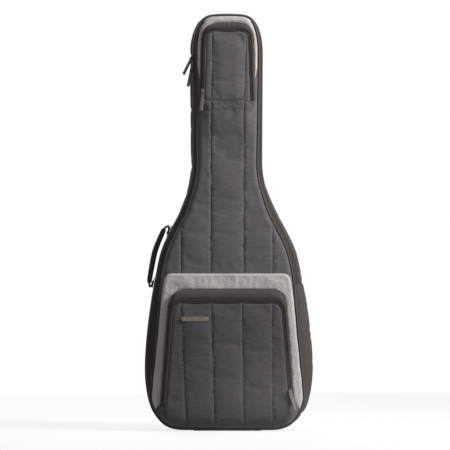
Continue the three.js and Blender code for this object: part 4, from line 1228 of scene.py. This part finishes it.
def strap_ends(hand, sgn):
    """The cloth that bends at the yoke, the webbings round the buckle and the hook, and the tab at the base."""
    body = f"strap_{hand}"
    root = smooth_curve([(sgn * 44, y, z) for y, z in ROOT_LINE], 16)
    root_cloth = ribbon(f"{body}_root", root, X_AXIS, 54, 4.4, TRIM, power=5)
    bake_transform(root_cloth)
    anchor = arc(STRAP_Y, 276, 3.6, 0, 180) + arc(STRAP_Y, 263.8, 3.2, 180, 360)
    band_loop(f"{body}_anchor", sgn * WEBBING_X, anchor, body)
    webbing = arc(STRAP_Y, 242.2, 3.2, 0, 180) + arc(STRAP_Y, 181.2, 3.2, 180, 360)
    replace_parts(band_loop(f"{body}_webbing_loop", sgn * WEBBING_X, webbing, body), f"{body}_webbing")
    x = sgn * TAB_X
    tab = [(61.4, 168), (61.2, 150), (61.0, 136)] + arc(64.4, 130, 3.5, 180, 360, 9)
    tab += [(67.6, 133), (65.4, 139), (63.2, 146), (63.1, 168)]
    tab_path = even(np.array([(x, y, z) for y, z in tab], float), 40)
    tab_webbing = ribbon(f"{body}_tab_webbing", tab_path, X_AXIS, 24, 1.5, TRIM, power=6)
    place(tab_webbing, "shell", "trim", f"{body}_tab")
    for k, z in enumerate((150.0, 164.0)):
        seam_path = [(x - 10, 64.0, z), (x, 64.0, z), (x + 10, 64.0, z)]
        stitches(f"{body}_tab_stitches_{k}", seam_path, Y_AXIS, "shell", pitch=3.2, length=2.2)


for hand, sgn in (("left", -1), ("right", 1)):
    shoulder_strap(hand, sgn)
    strap_ends(hand, sgn)

# ---------------------------------------------------------------- floor and light
FLOOR_RADIUS = 12.0
WORLD_LIGHT = 0.19
scene = bpy.context.scene


def pale_floor():
    """A near-white disc, mostly see-through, so that only a faint shadow is left."""
    net = Net("pale_floor")
    at = net.node("TexCoord", out=3)
    x, y = net.split(at)[:2]
    squares = net.math("ADD", net.math("MULTIPLY", x, x), net.math("MULTIPLY", y, y))
    from_middle = net.math("POWER", squares, 0.5)
    fade = net.math("MULTIPLY", net.math("SUBTRACT", from_middle, 0.5), 0.6)
    grain = net.node("TexNoise", Vector=at, Scale=40.0, Detail=3.0)
    paint = net.mix(grain, (0.93, 0.93, 0.93, 1), (0.97, 0.97, 0.97, 1))
    diffuse = net.node("BsdfPrincipled", Base_Color=paint, Roughness=0.8, Specular_IOR_Level=0.1)
    clear = net.node("BsdfTransparent")
    both = net.node("MixShader", i0=net.math("MAXIMUM", fade, 0.8, clamp=True), i1=diffuse, i2=clear)
    net.node("OutputMaterial", Surface=both)
    rim = [(FLOOR_RADIUS * math.cos(a), FLOOR_RADIUS * math.sin(a), 0)
           for a in np.linspace(0, 2 * math.pi, 96, endpoint=False)]
    mesh = bpy.data.meshes.new("floor")
    mesh.from_pydata(rim, [], [list(range(96))])
    mesh.materials.append(net.material)
    floor = bpy.data.objects.new("floor", mesh)
    scene.collection.objects.link(floor)
    return floor


def studio():
    """A white backdrop behind the bag, and a softer light from all round."""
    scene.view_settings.view_transform = "Standard"
    scene.view_settings.look = "None"
    world = bpy.data.worlds.new("studio")
    scene.world = world
    world.use_nodes = True
    tree = world.node_tree
    backdrop = tree.nodes["Background"]
    backdrop.inputs[0].default_value = (1.0, 1.0, 1.0, 1)
    soft = tree.nodes.new("ShaderNodeBackground")
    soft.inputs[0].default_value = (0.96, 0.98, 1.0, 1)
    soft.inputs[1].default_value = WORLD_LIGHT
    rays = tree.nodes.new("ShaderNodeLightPath")
    either = tree.nodes.new("ShaderNodeMixShader")
    tree.links.new(rays.outputs["Is Camera Ray"], either.inputs[0])
    tree.links.new(soft.outputs[0], either.inputs[1])
    tree.links.new(backdrop.outputs[0], either.inputs[2])
    tree.links.new(either.outputs[0], tree.nodes["World Output"].inputs[0])


def area(name, at, to, size, power, colour=(1, 1, 1), spread=180):
    """A square lamp at a place, aimed at another."""
    lamp = bpy.data.lights.new(name, "AREA")
    lamp.shape, lamp.size, lamp.energy, lamp.color = "SQUARE", size, power, colour
    lamp.spread = math.radians(spread)
    ob = bpy.data.objects.new(name, lamp)
    scene.collection.objects.link(ob)
    ob.location = at
    ob.rotation_euler = (Vector(to) - Vector(at)).to_track_quat("-Z", "Y").to_euler()
    ob.visible_camera = False


floor = pale_floor()
studio()
area("key", (2.7, -1.2, 2.0), (0, 0, 0.7), 1.1, 31, (1.0, 0.98, 0.965), spread=80)
area("front", (0.9, -3.0, 2.4), (0, 0, 0.8), 1.2, 1.6, spread=60)
area("fill", (-3.0, -1.5, 1.1), (0, 0, 0.5), 1.4, 3.0, (0.93, 0.96, 1.0))
area("low", (0.11, -0.33, 0.01), (0.11, 0, 0.02), 0.28, 0.12, spread=90)
area("top", (0.1, 0.2, 3.2), (0, 0, 0.6), 1.6, 16)
area("back_light", (-0.8, 2.8, 1.8), (0, 0, 0.5), 1.6, 28)
